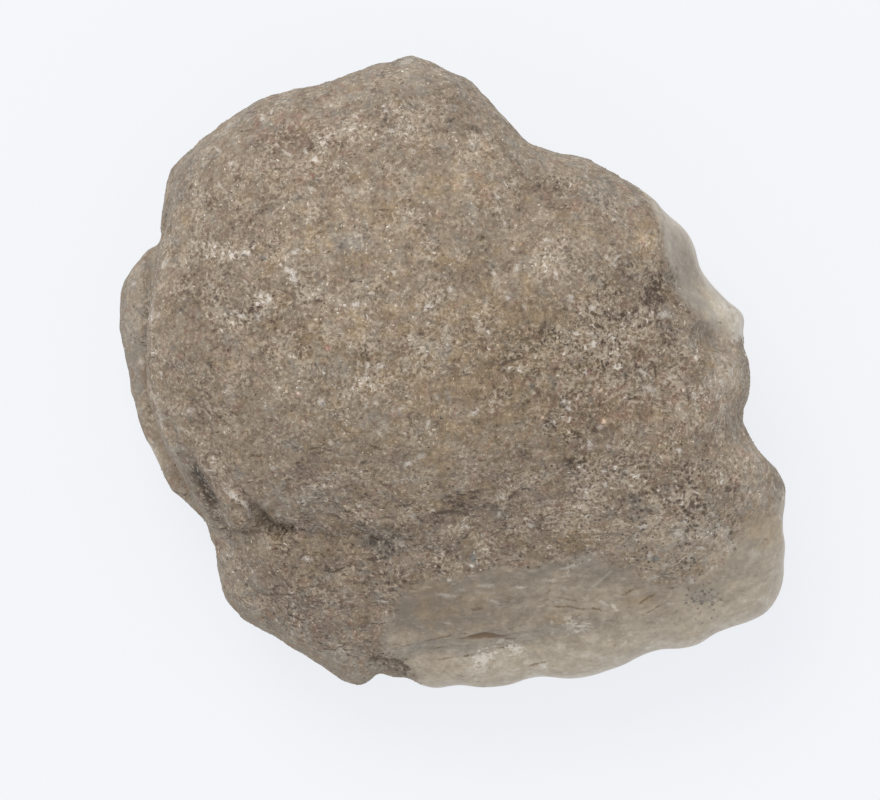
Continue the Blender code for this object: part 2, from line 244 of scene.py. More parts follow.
# Hairlines, as (path, half width, strength): pale where the strength is above 0 and dark cracks where it is
# below. Close neighbours are in different lots.
HAIRLINES = (
    (
        (((-19.3, -10.6), (-18.4, -10.2), (-17.4, -10.1), (-16.6, -9.6)), 0.12, -0.9),
        (((-10.2, -14.3), (-9.6, -15.0), (-8.5, -15.2)), 0.12, -0.7),
        (((-7.3, -18.0), (-5.7, -17.7)), 0.12, -0.9),
        (((-0.7, -17.5), (0.2, -17.6), (1.1, -18.0)), 0.17, -1.1),
        (((7.6, -16.7), (8.5, -16.0), (9.6, -15.5)), 0.14, -0.9),
        (((1.6, -22.2), (2.3, -21.5), (3.1, -21.1)), 0.12, -0.8),
        (((3.8, -18.1), (5.4, -17.5)), 0.12, -0.8),
        (((-17.2, -18.9), (-15.5, -19.3), (-14.1, -19.9), (-12.2, -20.6)), 0.12, -0.6),
        (((-9.8, -19.6), (-8.5, -19.4), (-7.2, -19.9)), 0.11, -0.6),
        (((-16.9, -26.8), (-15.9, -26.9), (-14.7, -26.4)), 0.13, -0.8),
        (((-11.8, -24.9), (-10.6, -25.2), (-8.8, -24.9)), 0.13, -0.9),
        (((-25.3, -30.2), (-23.7, -29.9), (-21.4, -29.9)), 0.16, -0.6),
        (((-20.3, -29.0), (-18.4, -28.8), (-16.9, -28.5)), 0.13, -0.6),
        (((24.6, 2.5), (25.4, 1.8), (26.0, 1.5), (26.6, 0.4), (26.7, -0.6)), 0.13, -0.8),
        (((30.4, -1.0), (30.8, -2.6), (31.1, -3.9)), 0.11, -0.6),
        (((6.3, 0.6), (7.1, 1.0), (8.4, 1.3)), 0.13, -0.8),
        (((1.1, -0.8), (2.5, -0.5)), 0.10, -0.6),
        (((-10.8, -9.8), (-9.5, -10.3)), 0.13, -0.7),
        (((10.6, -15.6), (12.6, -15.0)), 0.11, -0.5),
        (((-39.2, 14.5), (-39.5, 10.7), (-39.8, 6.9), (-40.2, 5.1)), 0.2, 0.4),
        (((-40.4, 4.0), (-40.7, 0.8), (-40.1, -1.9), (-39.3, -4.2), (-38.5, -7.2)), 0.2, 0.25),
        (((-11.4, -39.2), (-10.1, -38.6), (-8.1, -38.9), (-6.7, -39.4)), 0.22, -0.7),
        (((-22.2, -23.1), (-20.2, -22.5), (-18.2, -23.3)), 0.11, -0.5),
        (((-29.7, -21.8), (-27.6, -21.9), (-25.4, -21.7)), 0.16, -0.5),
        (((12.8, -31.4), (14.4, -31.5), (15.7, -31.4), (17.1, -31.8), (18.1, -31.7)), 0.09, -0.8),
        (((25.2, -31.0), (26.1, -30.3), (27.2, -29.8)), 0.11, -0.9),
        (((9.9, -39.8), (11.1, -39.4), (12.6, -39.1)), 0.12, -0.7),
        (((7.9, -34.5), (8.7, -34.9), (9.5, -34.9)), 0.12, -1.0),
        (((7.2, -36.9), (6.0, -37.2), (4.8, -37.6), (3.3, -38.0), (1.7, -38.3)), 0.13, -0.8),
        (((-6.4, -37.0), (-3.6, -36.3), (-1.6, -35.8), (-0.0, -35.3), (1.9, -35.1)), 0.12, -0.6),
        (((2.8, -31.9), (3.8, -31.8)), 0.16, -0.8),
        (((25.9, -32.5), (26.7, -32.0), (27.8, -31.4)), 0.09, -0.5),
    ),
    (
        (((1.5, -17.6), (2.3, -17.9)), 0.14, -0.9),
        (((-2.0, -18.9), (-0.8, -18.8), (-0.0, -18.7), (1.7, -19.1)), 0.15, -1.0),
        (((-18.2, -26.3), (-16.9, -26.7), (-14.8, -26.4)), 0.12, -0.6),
        (((18.1, -31.1), (18.8, -31.7), (19.6, -31.9)), 0.11, -0.9),
        (((12.5, -30.6), (14.4, -30.2), (16.4, -30.6)), 0.11, -0.5),
        (((22.9, -29.9), (23.9, -29.4)), 0.15, -0.7),
        (((16.7, -34.4), (17.8, -34.3), (18.7, -34.5)), 0.09, -0.6),
        (((28.8, -29.0), (31.1, -29.0)), 0.12, -0.5),
        (((7.1, -35.8), (8.7, -35.8)), 0.13, -0.8),
        (((-2.0, -37.2), (-0.9, -36.9)), 0.13, -0.6),
        (((-1.9, -38.8), (0.4, -38.4)), 0.11, -0.5),
    ),
)
LINE_MARGIN = 0.3

# The long brown crevice. Half width and strength are as (at its ends, what is added where it is widest).
CREVICE = (
    (-7.0, -37.5), (-5.0, -36.8), (-1.6, -36.2), (1.7, -35.8), (4.4, -35.4), (7.0, -35.6), (8.2, -35.2),
    (10.4, -34.9),
)
CREVICE_WIDEST = 4.3
CREVICE_SWELL = 2.4
CREVICE_HALF_WIDTH = (0.16, 0.26)
CREVICE_STRENGTH = (0.35, 0.65)
CREVICE_SINK = 0.5

# Small crisp flecks, as (x, y, half length, half width, turn, strength): pale where the strength is above 0
# and dark where it is below. Close neighbours are in different lots.
FLECKS = (
    (
        (-20.7, 12.1, 0.56, 0.35, 88, 0.94), (-20.5, 15.4, 0.56, 0.31, 20, 0.62),
        (-24.0, 9.1, 0.46, 0.25, 70, 0.78), (-27.6, 7.1, 0.46, 0.22, -20, 0.7),
        (-31.6, 11.0, 0.34, 0.17, -40, 0.47), (-43.1, 11.9, 0.32, 0.32, 0, 0.62),
        (-25.1, 33.3, 0.51, 0.31, 85, 0.62), (-31.0, 29.2, 0.62, 0.24, -35, 0.55),
        (-30.5, 24.2, 0.62, 0.2, -50, 0.47), (-19.2, 28.6, 0.36, 0.2, -50, 0.62),
        (-18.5, 23.8, 0.39, 0.26, -20, 0.62), (-12.7, 8.5, 0.51, 0.35, 25, 0.78),
        (-7.6, 12.7, 0.33, 0.39, 0, 0.55), (-3.2, 8.3, 0.56, 0.26, 45, 0.7),
        (-0.3, 10.5, 0.33, 0.33, 0, 0.62), (8.4, 13.2, 0.42, 0.29, 70, 0.7),
        (7.2, 9.4, 0.31, 0.26, 0, 0.55), (13.5, 12.5, 0.51, 0.28, -70, 0.7),
        (15.5, 9.4, 0.39, 0.29, -50, 0.55), (18.5, 3.4, 0.47, 0.39, 60, 0.86),
        (21.1, 13.9, 0.56, 0.19, -45, 0.55), (27.9, 7.4, 0.79, 0.47, 10, 0.55),
        (25.1, -0.3, 0.41, 0.22, -25, 0.55), (29.9, -10.6, 0.41, 0.25, -10, 0.78),
        (19.3, -7.5, 0.31, 0.31, 0, 0.47), (2.8, -5.6, 0.61, 0.32, 35, 0.7),
        (15.2, -5.1, 0.39, 0.26, -40, 0.7), (18.0, -9.7, 0.52, 0.34, 90, 0.7),
        (-9.4, 0.5, 0.39, 0.26, 20, 0.78), (-12.3, 0.8, 0.41, 0.17, 80, 0.47),
        (-11.3, -4.6, 0.39, 0.2, 60, 0.55), (-6.6, -5.0, 0.36, 0.17, 30, 0.47),
        (-17.1, -4.1, 0.46, 0.42, 0, 0.62), (-9.5, -8.4, 0.51, 0.17, -50, 0.47),
        (-2.9, -8.4, 0.26, 0.21, 0, 0.47), (-5.8, -12.3, 0.52, 0.24, 30, 0.7),
        (-29.2, -16.5, 0.9, 0.25, -38, 0.75), (-30.1, -20.7, 0.47, 0.25, -75, 0.78),
        (-37.4, -10.8, 0.73, 0.29, -65, 0.7), (-34.8, -5.4, 0.4, 0.33, -30, 0.55),
        (-19.3, -25.1, 0.53, 0.27, -15, 0.7), (-19.6, -17.4, 0.4, 0.21, 90, 0.47),
        (-9.1, -30.9, 0.67, 0.19, -5, 0.5), (-14.9, -37.6, 0.32, 0.2, 0, 0.47),
        (-21.6, -35.5, 0.42, 0.2, 90, 0.47), (6.3, -16.7, 0.46, 0.26, 10, 0.55),
        (10.3, -20.4, 0.4, 0.33, 0, 0.55), (-5.2, -19.2, 0.41, 0.29, -30, 0.47),
        (25.2, -20.7, 0.53, 0.32, 0, 0.62), (26.1, -24.7, 0.45, 0.27, 90, 0.7),
        (34.4, -19.0, 0.51, 0.18, -40, 0.55), (30.0, -21.6, 0.53, 0.34, 10, 0.47),
        (43.9, -19.6, 0.33, 0.17, -60, 0.7), (-8.7, 34.0, 0.31, 0.24, 0, 0.62),
        (-7.9, 31.3, 0.46, 0.21, 0, 0.62), (-5.1, 28.5, 0.25, 0.25, 0, 0.62),
        (-16.3, 30.7, 0.41, 0.24, 30, 0.47), (6.0, 22.6, 0.34, 0.18, -40, 0.7),
        (17.7, 25.7, 0.31, 0.2, -25, 0.62), (12.5, 17.0, 0.61, 0.29, -5, 0.47),
        (-0.7, -29.9, 1.1, 0.24, -8, 0.54), (9.0, -28.9, 0.53, 0.18, 3, 0.65),
        (2.6, -25.9, 0.23, 0.2, -30, 1.01), (5.6, -30.8, 0.8, 0.19, -20, 0.43),
        (20.1, -31.0, 0.8, 0.18, -25, 0.58), (13.1, -27.9, 0.66, 0.2, 0, 0.58),
        (4.0, -38.3, 0.54, 0.33, 60, 0.58), (8.7, -37.3, 0.67, 0.38, 20, 0.5),
        (2.4, -40.5, 0.81, 0.51, 10, 0.36), (15.9, -34.1, 0.53, 0.76, 0, 0.43),
        (18.9, -35.6, 0.54, 0.51, 0, 0.32), (19.7, -28.0, 1.7, 0.16, 40, 0.32),
        (40.5, -24.5, 0.86, 0.42, 3, 0.39), (-6.1, 41.0, 0.79, 0.4, 15, 0.47),
        (32.0, -28.1, 0.4, 0.38, 0, 0.5), (29.3, -31.2, 0.67, 0.14, 0, 0.43),
        (22.9, -36.8, 0.4, 0.38, 30, 0.4), (36.9, 8.5, 0.35, 0.2, -40, -0.9),
        (27.4, 9.0, 1.1, 0.24, 15, -0.8), (31.3, 7.8, 0.32, 0.26, 0, -0.9),
        (-5.8, 16.1, 0.47, 0.22, -5, -0.8), (-17.5, 9.1, 0.65, 0.18, -25, -1),
        (10.2, 4.9, 0.65, 0.31, 0, -0.7), (-31.7, 0.5, 0.34, 0.2, -30, -0.9),
        (-20.4, -12.2, 0.46, 0.2, -15, -0.8), (-10.5, 28.7, 0.46, 0.2, 20, -0.7),
        (27.9, -4.3, 0.39, 0.32, 0, -0.7), (36.5, -15.7, 0.3, 0.3, 0, -1),
        (27.5, -16.7, 0.33, 0.26, 0, -0.9), (33.4, -19.0, 0.26, 0.26, 0, -0.9),
        (37.1, -21.6, 0.29, 0.24, 0, -1), (31.1, -23.0, 0.33, 0.17, 10, -0.9),
        (33.2, -25.9, 0.23, 0.25, 0, -1), (34.4, -28.5, 0.21, 0.21, 0, -1.1),
        (42.0, -22.6, 0.35, 0.15, -5, -0.7),
    ),
    (
        (-21.3, 13.0, 0.71, 0.28, -15, 0.74), (-19.0, 15.5, 0.36, 0.19, 10, 0.39),
        (-25.1, 9.8, 0.52, 0.26, 20, 0.62), (-25.5, 6.9, 0.56, 0.19, -60, 0.47),
        (-27.1, 11.6, 0.51, 0.17, -55, 0.39), (-38.1, 14.2, 0.53, 0.37, 70, 0.47),
        (-38.8, 7.3, 0.36, 0.24, 80, 0.47), (-42.1, 1.2, 0.47, 0.34, 90, 0.39),
        (-29.6, 32.6, 0.62, 0.38, 35, 0.62), (-29.1, 27.2, 0.53, 0.26, 20, 0.55),
        (-21.4, 28.3, 0.41, 0.24, -40, 0.55), (-17.8, 27.5, 0.51, 0.24, -55, 0.55),
        (-23.0, 29.5, 0.51, 0.24, -60, 0.39), (-10.7, 10.0, 0.39, 0.2, 20, 0.62),
        (-12.4, 17.6, 0.51, 0.24, 5, 0.47), (-4.6, 8.4, 0.41, 0.19, -80, 0.55),
        (5.4, 12.6, 0.33, 0.21, -40, 0.62), (8.9, 14.1, 0.33, 0.2, 40, 0.39),
        (9.3, 8.3, 0.26, 0.26, 0, 0.47), (16.1, 4.8, 0.39, 0.21, -20, 0.7),
        (18.4, 8.1, 0.39, 0.26, -30, 0.62), (21.7, 14.8, 0.56, 0.17, 35, 0.55),
        (25.9, -2.5, 0.72, 0.37, -10, 0.51), (18.0, 4.8, 0.51, 0.17, 0, 0.55),
        (28.8, -1.0, 0.62, 0.17, 15, 0.39), (20.4, -10.1, 0.33, 0.26, 90, 0.47),
        (32.3, -7.2, 0.3, 0.17, -60, 0.55), (14.6, -4.1, 0.39, 0.26, 60, 0.7),
        (17.4, -0.4, 0.31, 0.31, 0, 0.62), (-11.0, 0.6, 0.41, 0.28, 50, 0.7),
        (-11.5, -1.1, 0.33, 0.2, 30, 0.62), (-10.0, -4.4, 0.3, 0.2, 10, 0.47),
        (-15.9, -9.6, 0.46, 0.26, -40, 0.62), (-3.2, -7.1, 0.46, 0.2, 65, 0.55),
        (-4.2, -11.4, 0.62, 0.31, 30, 0.55), (-27.6, -17.7, 0.9, 0.2, -48, 0.6),
        (-26.9, -19.2, 0.41, 0.19, -70, 0.47), (-38.5, -0.5, 0.41, 0.19, -60, 0.55),
        (-35.3, -8.1, 0.94, 0.2, -45, 0.43), (-23.6, -12.9, 0.33, 0.26, 0, 0.47),
        (-13.6, -31.0, 0.41, 0.19, 0, 0.39), (6.2, -19.1, 0.4, 0.2, 90, 0.62),
        (1.9, -20.7, 0.41, 0.19, -20, 0.62), (20.2, -15.0, 0.33, 0.26, 0, 0.62),
        (14.8, -21.5, 0.51, 0.31, 65, 0.39), (33.2, -23.7, 0.62, 0.2, -15, 0.55),
        (43.2, -15.7, 0.37, 0.19, -65, 0.62), (-11.9, 34.1, 0.33, 0.17, 0, 0.47),
        (-5.5, 31.8, 0.62, 0.24, -35, 0.47), (-12.8, 33.3, 0.36, 0.22, 0, 0.55),
        (-13.5, 31.6, 0.41, 0.24, 45, 0.47), (6.9, 19.1, 0.26, 0.2, 0, 0.47),
        (-0.4, -27.8, 0.24, 0.22, 0, 0.94), (4.6, -28.6, 1.1, 0.23, 0, 0.43),
        (1.4, -29.2, 0.53, 0.18, -10, 0.36), (21.6, -31.6, 0.53, 0.2, -50, 0.79),
        (15.6, -26.1, 1.1, 0.2, 15, 0.58), (15.1, -27.3, 0.4, 0.16, 10, 0.43),
        (6.4, -36.2, 0.67, 0.26, 25, 0.65), (7.1, -38.4, 0.32, 0.64, 0, 0.5),
        (6.4, -39.4, 0.32, 0.26, 0, 0.5), (4.3, -39.9, 0.4, 0.64, 0, 0.43),
        (15.3, -33.0, 0.4, 0.31, 0, 0.43), (13.3, -33.6, 0.27, 0.26, 0, 0.5),
        (13.4, -35.0, 0.27, 0.23, 0, 0.5), (18.0, -34.4, 0.67, 0.5, 0, 0.36),
        (14.7, -36.8, 0.4, 0.38, 0, 0.36), (10.2, -39.0, 0.4, 0.32, 0, 0.5),
        (15.0, -28.9, 0.32, 0.26, 20, 0.29), (27.1, -27.5, 0.4, 0.15, 0, 0.36),
        (29.6, 20.8, 0.52, 0.25, 60, 0.39), (30.7, 18.3, 0.62, 0.25, -50, 0.39),
        (26.6, 10.5, 0.66, 0.45, -50, -0.7), (26.2, 12.1, 0.39, 0.24, -20, -0.9),
        (25.9, 9.2, 0.52, 0.31, 0, -0.6), (35.6, 6.4, 0.35, 0.16, -5, -0.9),
        (-24.9, 10.7, 0.39, 0.16, -10, -0.4), (-29.9, 12.2, 0.39, 0.2, 30, -0.7),
        (-2.0, 13.6, 0.33, 0.23, 0, -0.8), (13.4, -0.0, 0.59, 0.18, -10, -0.8),
        (-32.7, -11.6, 0.53, 0.18, -75, -0.8), (-11.7, -12.2, 0.34, 0.2, 0, -0.8),
        (2.6, -16.1, 0.53, 0.16, 5, -1), (4.3, -22.2, 0.4, 0.15, 0, -0.9),
        (30.3, -15.4, 0.4, 0.34, 0, -0.8), (26.2, -18.6, 0.33, 0.33, 0, -1),
        (32.4, -20.6, 0.6, 0.17, -15, -0.9), (31.1, -21.4, 0.24, 0.2, 0, -0.9),
        (34.9, -22.0, 0.27, 0.23, 0, -0.9), (31.1, -25.7, 0.24, 0.24, 0, -1),
        (29.7, -24.6, 0.32, 0.24, 0, -0.9), (32.2, -25.5, 0.23, 0.2, 0, -0.8),
        (31.6, -29.3, 0.17, 0.27, 0, -0.9), (37.7, -23.8, 0.21, 0.27, 0, -0.7),
        (35.9, -30.6, 0.27, 0.2, 0, -0.7),
    ),
)
FLECK_MARGIN = (0.9, 0.5)

# Soft marks over the plan, as (x, y, half length, half width, turn, strength).
CHALK = (
    (16.6, 0.2, 6.0, 6.0, 0, 0.20), (20.0, 6.0, 6.0, 6.0, 0, 0.22), (31.0, -18.0, 5.0, 4.0, 0, 0.34),
    (27.0, -4.0, 6.0, 6.0, 0, 0.22), (-29.0, 16.0, 6.0, 3.0, 0, 0.24), (-20.0, 27.0, 8.0, 5.0, 20, 0.22),
    (-8.0, 1.0, 5.0, 4.0, 0, 0.15), (-22.0, 4.0, 6.0, 5.0, 0, 0.15), (-26.5, 15.7, 1.6, 0.8, 10, 0.45),
    (-32.5, 16.4, 1.8, 0.5, -5, 0.6), (-28.3, -17.2, 2.4, 0.6, -42, 0.7), (4.5, -24.0, 2.2, 0.7, 10, 0.5),
    (21.0, -13.5, 5.0, 2.5, 0, 0.3), (-29.5, 15.2, 2.6, 0.9, 5, 0.5), (17.6, 4.4, 2.4, 1.4, -20, 0.2),
    (12.0, 13.5, 2.2, 1.6, -40, 0.4), (-11.5, -2.0, 2.4, 3.0, 0, 0.35), (-20.6, 12.8, 1.8, 1.6, 0, 0.4),
    (-25.0, 9.2, 1.5, 1.3, 0, 0.9), (-12.4, 31.5, 2.4, 2.0, 0, 0.35), (8.0, 23.4, 2.0, 1.2, 0, 0.3),
    (-39.6, 6.0, 8.0, 0.4, 90, 0.5), (22.0, -2.0, 3.0, 2.0, -40, 0.2), (-4.6, -30.4, 2.6, 1.0, 0, 0.4),
    (33.8, -3.4, 3.0, 2.0, 0, 0.3), (14.0, -19.6, 4.0, 2.0, 0, 0.3), (12.5, 15.6, 3.0, 1.4, 0, 0.35),
    (-6.4, 41.5, 1.0, 0.6, -10, 0.5),
)
PITTING = (
    (8.1, 2.6, 3.0, 2.4, -60, 0.45), (14.7, -7.8, 5.0, 2.2, -20, 0.55), (26.4, 11.0, 1.3, 2.4, -30, 1.1),
    (29.6, 4.0, 3.0, 1.4, -60, 0.7), (-24.4, -20.1, 1.4, 0.5, -42, 0.6), (-6.9, -22.5, 2.6, 2.2, 0, 0.9),
    (-10.9, -25.2, 4.0, 1.4, -10, 0.7), (-20.3, -30.0, 6.0, 4.0, 0, 0.35),
    # The mark at (-33.6, -16.0) darkens the west groove as painted shade.
    (-7.7, -39.2, 3.2, 1.3, -15, 1.2), (-33.6, -16.0, 3.0, 0.8, -58, 0.8), (31.5, -18.0, 3.4, 4.2, 0, 1.3),
    (24.4, -19.8, 2.4, 3.8, 0, 1.0), (18.0, -20.0, 4.0, 3.0, 10, 0.5), (1.6, -18.0, 3.0, 1.0, 0, 0.4),
    (33.2, -30.6, 2.6, 1.7, 15, 1.3), (38.0, -15.5, 1.2, 1.6, 0, 0.7), (25.6, -25.2, 1.6, 1.6, 0, 0.8),
    (31.5, -26.0, 3.0, 2.0, 0, 0.8), (37.5, -21.0, 2.0, 3.0, 0, 0.5), (-31.0, 1.0, 4.0, 3.5, 0, 0.3),
    (-19.0, -16.0, 8.0, 3.0, -10, 0.3), (33.6, -33.4, 1.6, 1.4, 0, 0.8), (17.0, 1.0, 2.0, 1.4, 0, 0.3),
    (31.0, -12.0, 5.0, 2.5, 0, 0.5), (9.6, -26.0, 2.2, 0.8, 0, 0.9), (13.5, -12.4, 1.4, 0.5, 20, 0.8),
    # The last mark darkens the foot of the west wall as painted shade.
    (35.5, -34.0, 1.2, 0.8, 30, 0.5), (-41.4, 4.0, 9.0, 0.4, 91, 0.5),
)
MILK = (
    (20.5, -36.0, 3.0, 1.4, 20, 0.3), (4.0, -38.8, 2.0, 1.6, 30, 1.15), (7.6, -37.0, 1.8, 1.2, 10, 0.8),
    (16.6, -34.0, 2.4, 1.6, -20, 0.9), (9.0, -37.6, 1.6, 1.0, 0, 0.6), (36.5, -27.5, 2.6, 0.9, 30, 0.5),
    (38.6, -29.0, 2.6, 0.9, 25, 0.4), (27.5, -33.8, 1.8, 0.7, 15, 0.4), (13.6, -36.6, 1.6, 1.2, 0, 0.5),
    (23.4, -36.0, 1.4, 0.8, 30, 0.5), (29.6, 19.6, 2.4, 0.9, -35, 0.5),
)
# Shade marks lighten the plan where the strength is above 0 and darken it where it is below. Most lighten or
# darken broad patches; those noted below paint shade in the west groove, in a crease in the east and along
# the foot of the west wall.
SHADE = (
    (17.0, 1.0, 8.0, 7.0, 0, -0.06), (20.5, 8.0, 4.6, 4.6, 0, -0.20), (20.5, -0.5, 5.0, 4.0, 0, -0.08),
    (10.0, 1.5, 6.0, 4.5, 0, -0.13), (13.0, 8.0, 4.0, 4.0, 0, -0.03), (5.0, 8.0, 4.0, 4.0, 0, 0.03),
    (27.0, -1.0, 4.5, 5.0, 0, -0.05), (29.0, 8.0, 3.5, 4.0, 0, -0.05), (31.0, 2.0, 6.0, 1.6, -60, -0.10),
    # The first mark on the next line paints shade in a crease.
    (28.8, 2.6, 6.0, 0.9, -62, -0.12), (26.4, 10.5, 1.6, 2.2, -25, -0.24),
    (15.0, -7.0, 6.5, 4.5, -25, -0.10), (16.0, -12.5, 4.0, 2.6, 5, -0.05),
    (15.2, -12.9, 2.4, 1.1, 10, -0.10), (8.0, -19.0, 8.0, 6.0, 0, -0.06),
    (25.5, -15.0, 7.0, 4.0, 0, -0.18), (18.0, -20.0, 4.0, 4.0, 0, 0.05), (32.0, -16.0, 2.4, 1.8, 0, -0.09),
    (28.0, -20.5, 6.0, 3.4, 0, 0.07), (36.5, -24.0, 4.2, 3.9, 0, 0.27), (29.3, -24.0, 4.0, 4.0, 0, 0.06),
    (39.0, -12.0, 3.4, 4.8, 0, 0.13), (41.2, -16.6, 2.0, 2.6, 0, 0.12), (41.8, -20.5, 3.0, 3.0, 0, -0.18),
    (44.0, -20.0, 1.6, 6.0, 0, -0.08), (24.0, -30.0, 12.0, 5.0, 15, 0.06),
    (16.0, -31.0, 6.6, 3.0, 0, 0.13), (12.0, -38.8, 8.4, 2.6, 0, 0.11), (-4.5, -31.0, 5.0, 4.0, 10, -0.18),
    (-4.5, -37.8, 4.2, 2.6, 0, -0.24), (-7.4, -39.4, 3.2, 1.2, -10, -0.22),
    (-9.0, -22.4, 7.0, 3.0, 0, -0.11), (-9.0, -23.0, 3.0, 2.4, 0, -0.09),
    (-3.0, -24.0, 4.0, 4.0, 0, -0.07), (1.2, -18.4, 2.4, 1.4, 0, -0.06),
    (-20.0, -31.0, 9.0, 7.0, 0, -0.10), (-19.5, -32.0, 4.0, 4.0, 0, -0.07),
    (-19.0, -24.0, 4.5, 4.0, 0, -0.10), (-26.5, -21.5, 5.0, 3.6, 0, -0.05),
    (-14.5, -27.5, 3.0, 3.0, 0, 0.05), (-17.5, -15.5, 5.0, 5.0, 0, -0.08),
    (-23.0, -7.0, 7.0, 3.6, 0, 0.05), (-11.5, 0.5, 4.4, 4.2, 0, -0.13), (0.0, -9.5, 5.0, 4.0, 0, 0.05),
    (-30.0, 12.0, 9.0, 12.0, 0, -0.05), (-28.5, 7.0, 5.5, 5.0, 0, -0.08), (-16.5, 16.0, 6.5, 4.0, 0, 0.07),
    (-7.5, 11.5, 4.0, 4.0, 0, 0.05), (-2.0, 16.5, 5.0, 4.4, 0, -0.06), (-12.0, 24.0, 5.0, 4.2, 0, 0.12),
    (-20.0, 31.0, 7.5, 5.2, 0, -0.10), (-28.5, 24.0, 5.0, 4.6, 0, -0.08), (3.0, 25.5, 4.8, 4.0, 0, 0.14),
    (1.0, 33.0, 6.5, 4.0, 0, -0.07), (13.5, 24.0, 4.0, 4.0, 0, -0.03), (20.0, 25.0, 6.0, 4.4, 0, -0.05),
    (28.5, 16.6, 2.8, 3.0, 0, 0.20), (25.6, 17.6, 1.5, 2.4, 0, 0.12), (30.8, 14.8, 6.0, 2.3, -61, -0.58),
    (36.4, 8.0, 2.8, 2.2, -40, 0.45), (36.4, 0.2, 2.8, 4.4, 0, 0.24), (33.0, -4.0, 3.0, 3.0, 0, 0.06),
    # The marks at (-34.4, -14.4) and (-31.9, -19.2) paint shade in the west groove, and the last two paint
    # shade along the foot of the west wall, where the shelf lies in its shade.
    (-24.2, -20.6, 2.0, 1.0, -35, 0.14), (-34.4, -14.4, 3.0, 0.95, -57, -0.10),
    (-31.9, -19.2, 3.2, 0.5, -60, -0.06), (-41.5, 3.0, 1.6, 9.0, 0, -0.08),
    (-41.2, 5.0, 10.0, 0.5, 91, -0.22),
)
OCHRE = (
    (-15.0, 0.0, 10.0, 8.0, 0, 0.3), (-2.0, -12.0, 5.0, 4.0, 0, 0.3), (25.6, 17.6, 1.5, 2.5, 0, 2.2),
    (-2.0, -30.5, 7.0, 4.0, 0, 0.35), (39.0, -2.7, 1.2, 1.6, 0, 0.9), (14.2, -22.4, 3.5, 2.0, 0, 0.6),
    (25.4, -30.6, 2.2, 0.6, 10, 0.4), (6.0, 0.0, 15.0, 11.0, 0, 1.1), (36.6, 8.0, 2.6, 1.8, -40, 0.25),
    (-24.0, -20.6, 2.4, 0.8, -40, 0.9), (42.0, -20.0, 4.0, 4.0, 0, 0.6), (-8.0, 10.0, 10.0, 6.0, 0, 0.2),
    (24.0, -3.0, 9.0, 9.0, 0, 0.5), (-23.8, 7.8, 2.6, 2.0, 0, 0.6), (-16.0, 17.6, 4.0, 3.0, 0, 0.5),
    (-6.8, 20.9, 5.0, 2.6, 0, 0.45), (2.3, 26.1, 4.0, 3.0, 0, 0.4), (7.5, 6.5, 3.4, 4.0, 0, 0.4),
    (-16.0, -9.0, 4.0, 2.0, 20, 0.45), (-35.5, 19.7, 0.4, 0.35, 0, 1.6), (25.2, -12.3, 0.4, 0.5, 0, 1.8),
    (27.9, -10.6, 0.55, 0.45, 0, 1.4), (14.0, -33.2, 2.0, 0.8, 0, 0.5), (-20.0, 18.0, 10.0, 8.0, 0, 0.15),
)
COOL = (
    (2.0, -38.0, 6.0, 2.5, 0, 0.9), (20.0, -33.5, 8.0, 2.5, 15, 0.6), (-44.0, 5.0, 3.0, 6.0, 0, 0.8),
    (-30.0, 35.6, 4.0, 3.0, 0, 0.8), (-38.5, 27.7, 3.0, 4.0, 0, 0.8), (-10.0, 42.0, 6.0, 2.0, 0, 0.7),
    (-13.4, 16.9, 3.0, 2.0, 0, 0.9), (-7.5, 32.7, 2.0, 1.6, 0, 0.7), (-4.2, 36.8, 1.8, 1.6, 0, 0.7),
    (-16.0, 0.0, 3.0, 2.4, 0, 0.8), (-1.6, 2.6, 2.2, 1.6, 0, 0.7), (-20.1, -17.1, 4.0, 2.6, 0, 0.9),
    (-14.8, 34.2, 1.8, 1.4, 0, 0.5), (-1.6, -3.9, 2.0, 1.6, 0, 0.6), (19.4, 23.7, 3.0, 2.0, 0, 0.6),
    (-29.1, 5.2, 2.0, 1.4, 0, 0.6), (-9.5, -6.5, 2.4, 1.6, 0, 0.7), (-34.4, -14.4, 2.6, 0.8, -57, 0.9),
    (-8.3, -22.8, 3.0, 2.4, 0, 0.8), (-33.8, 33.6, 2.0, 2.0, 0, 0.6), (17.4, -25.4, 1.8, 1.0, 20, 1.2),
    (30.0, -21.0, 8.0, 5.0, 0, 0.5), (-4.0, -36.6, 2.6, 0.5, 15, 1.0), (-15.0, -29.0, 10.0, 7.0, 0, 0.3),
    (30.0, 5.0, 5.0, 5.0, 0, 0.2),
)
RUST = (
    (-20.0, 31.0, 9.0, 5.0, 20, 0.25), (19.0, -3.0, 9.0, 8.0, 0, 0.28), (32.0, -5.0, 6.0, 6.0, 0, 0.24),
    (-19.0, -31.0, 7.0, 5.0, 0, 0.22), (27.0, 22.0, 6.0, 5.0, 0, 0.22), (-30.0, 2.0, 5.0, 8.0, 0, 0.12),
    (-16.2, 2.9, 0.5, 0.4, 0, 1.5), (-18.4, 25.4, 0.4, 0.4, 0, 1.2), (17.6, -0.4, 0.5, 0.4, 0, 0.9),
    (17.9, -9.7, 0.4, 0.5, 0, 0.8), (37.4, -14.2, 0.6, 0.6, 0, 0.8),
)
SLATE = (
    (33.6, -30.4, 2.4, 1.3, 10, 1.0), (2.8, -24.9, 0.5, 0.5, 0, 1.5), (15.0, -26.3, 0.9, 0.4, 10, 0.7),
    (-5.4, -37.3, 1.8, 0.8, 12, 0.8), (5.0, -40.3, 0.9, 0.7, 0, 0.6), (27.0, -25.2, 0.7, 0.5, 0, 1.0),
    (-17.0, -4.4, 0.6, 0.5, 0, 0.8), (-27.4, 15.0, 0.9, 0.5, 0, 0.6), (-24.6, 14.6, 0.7, 0.5, 0, 0.7),
)
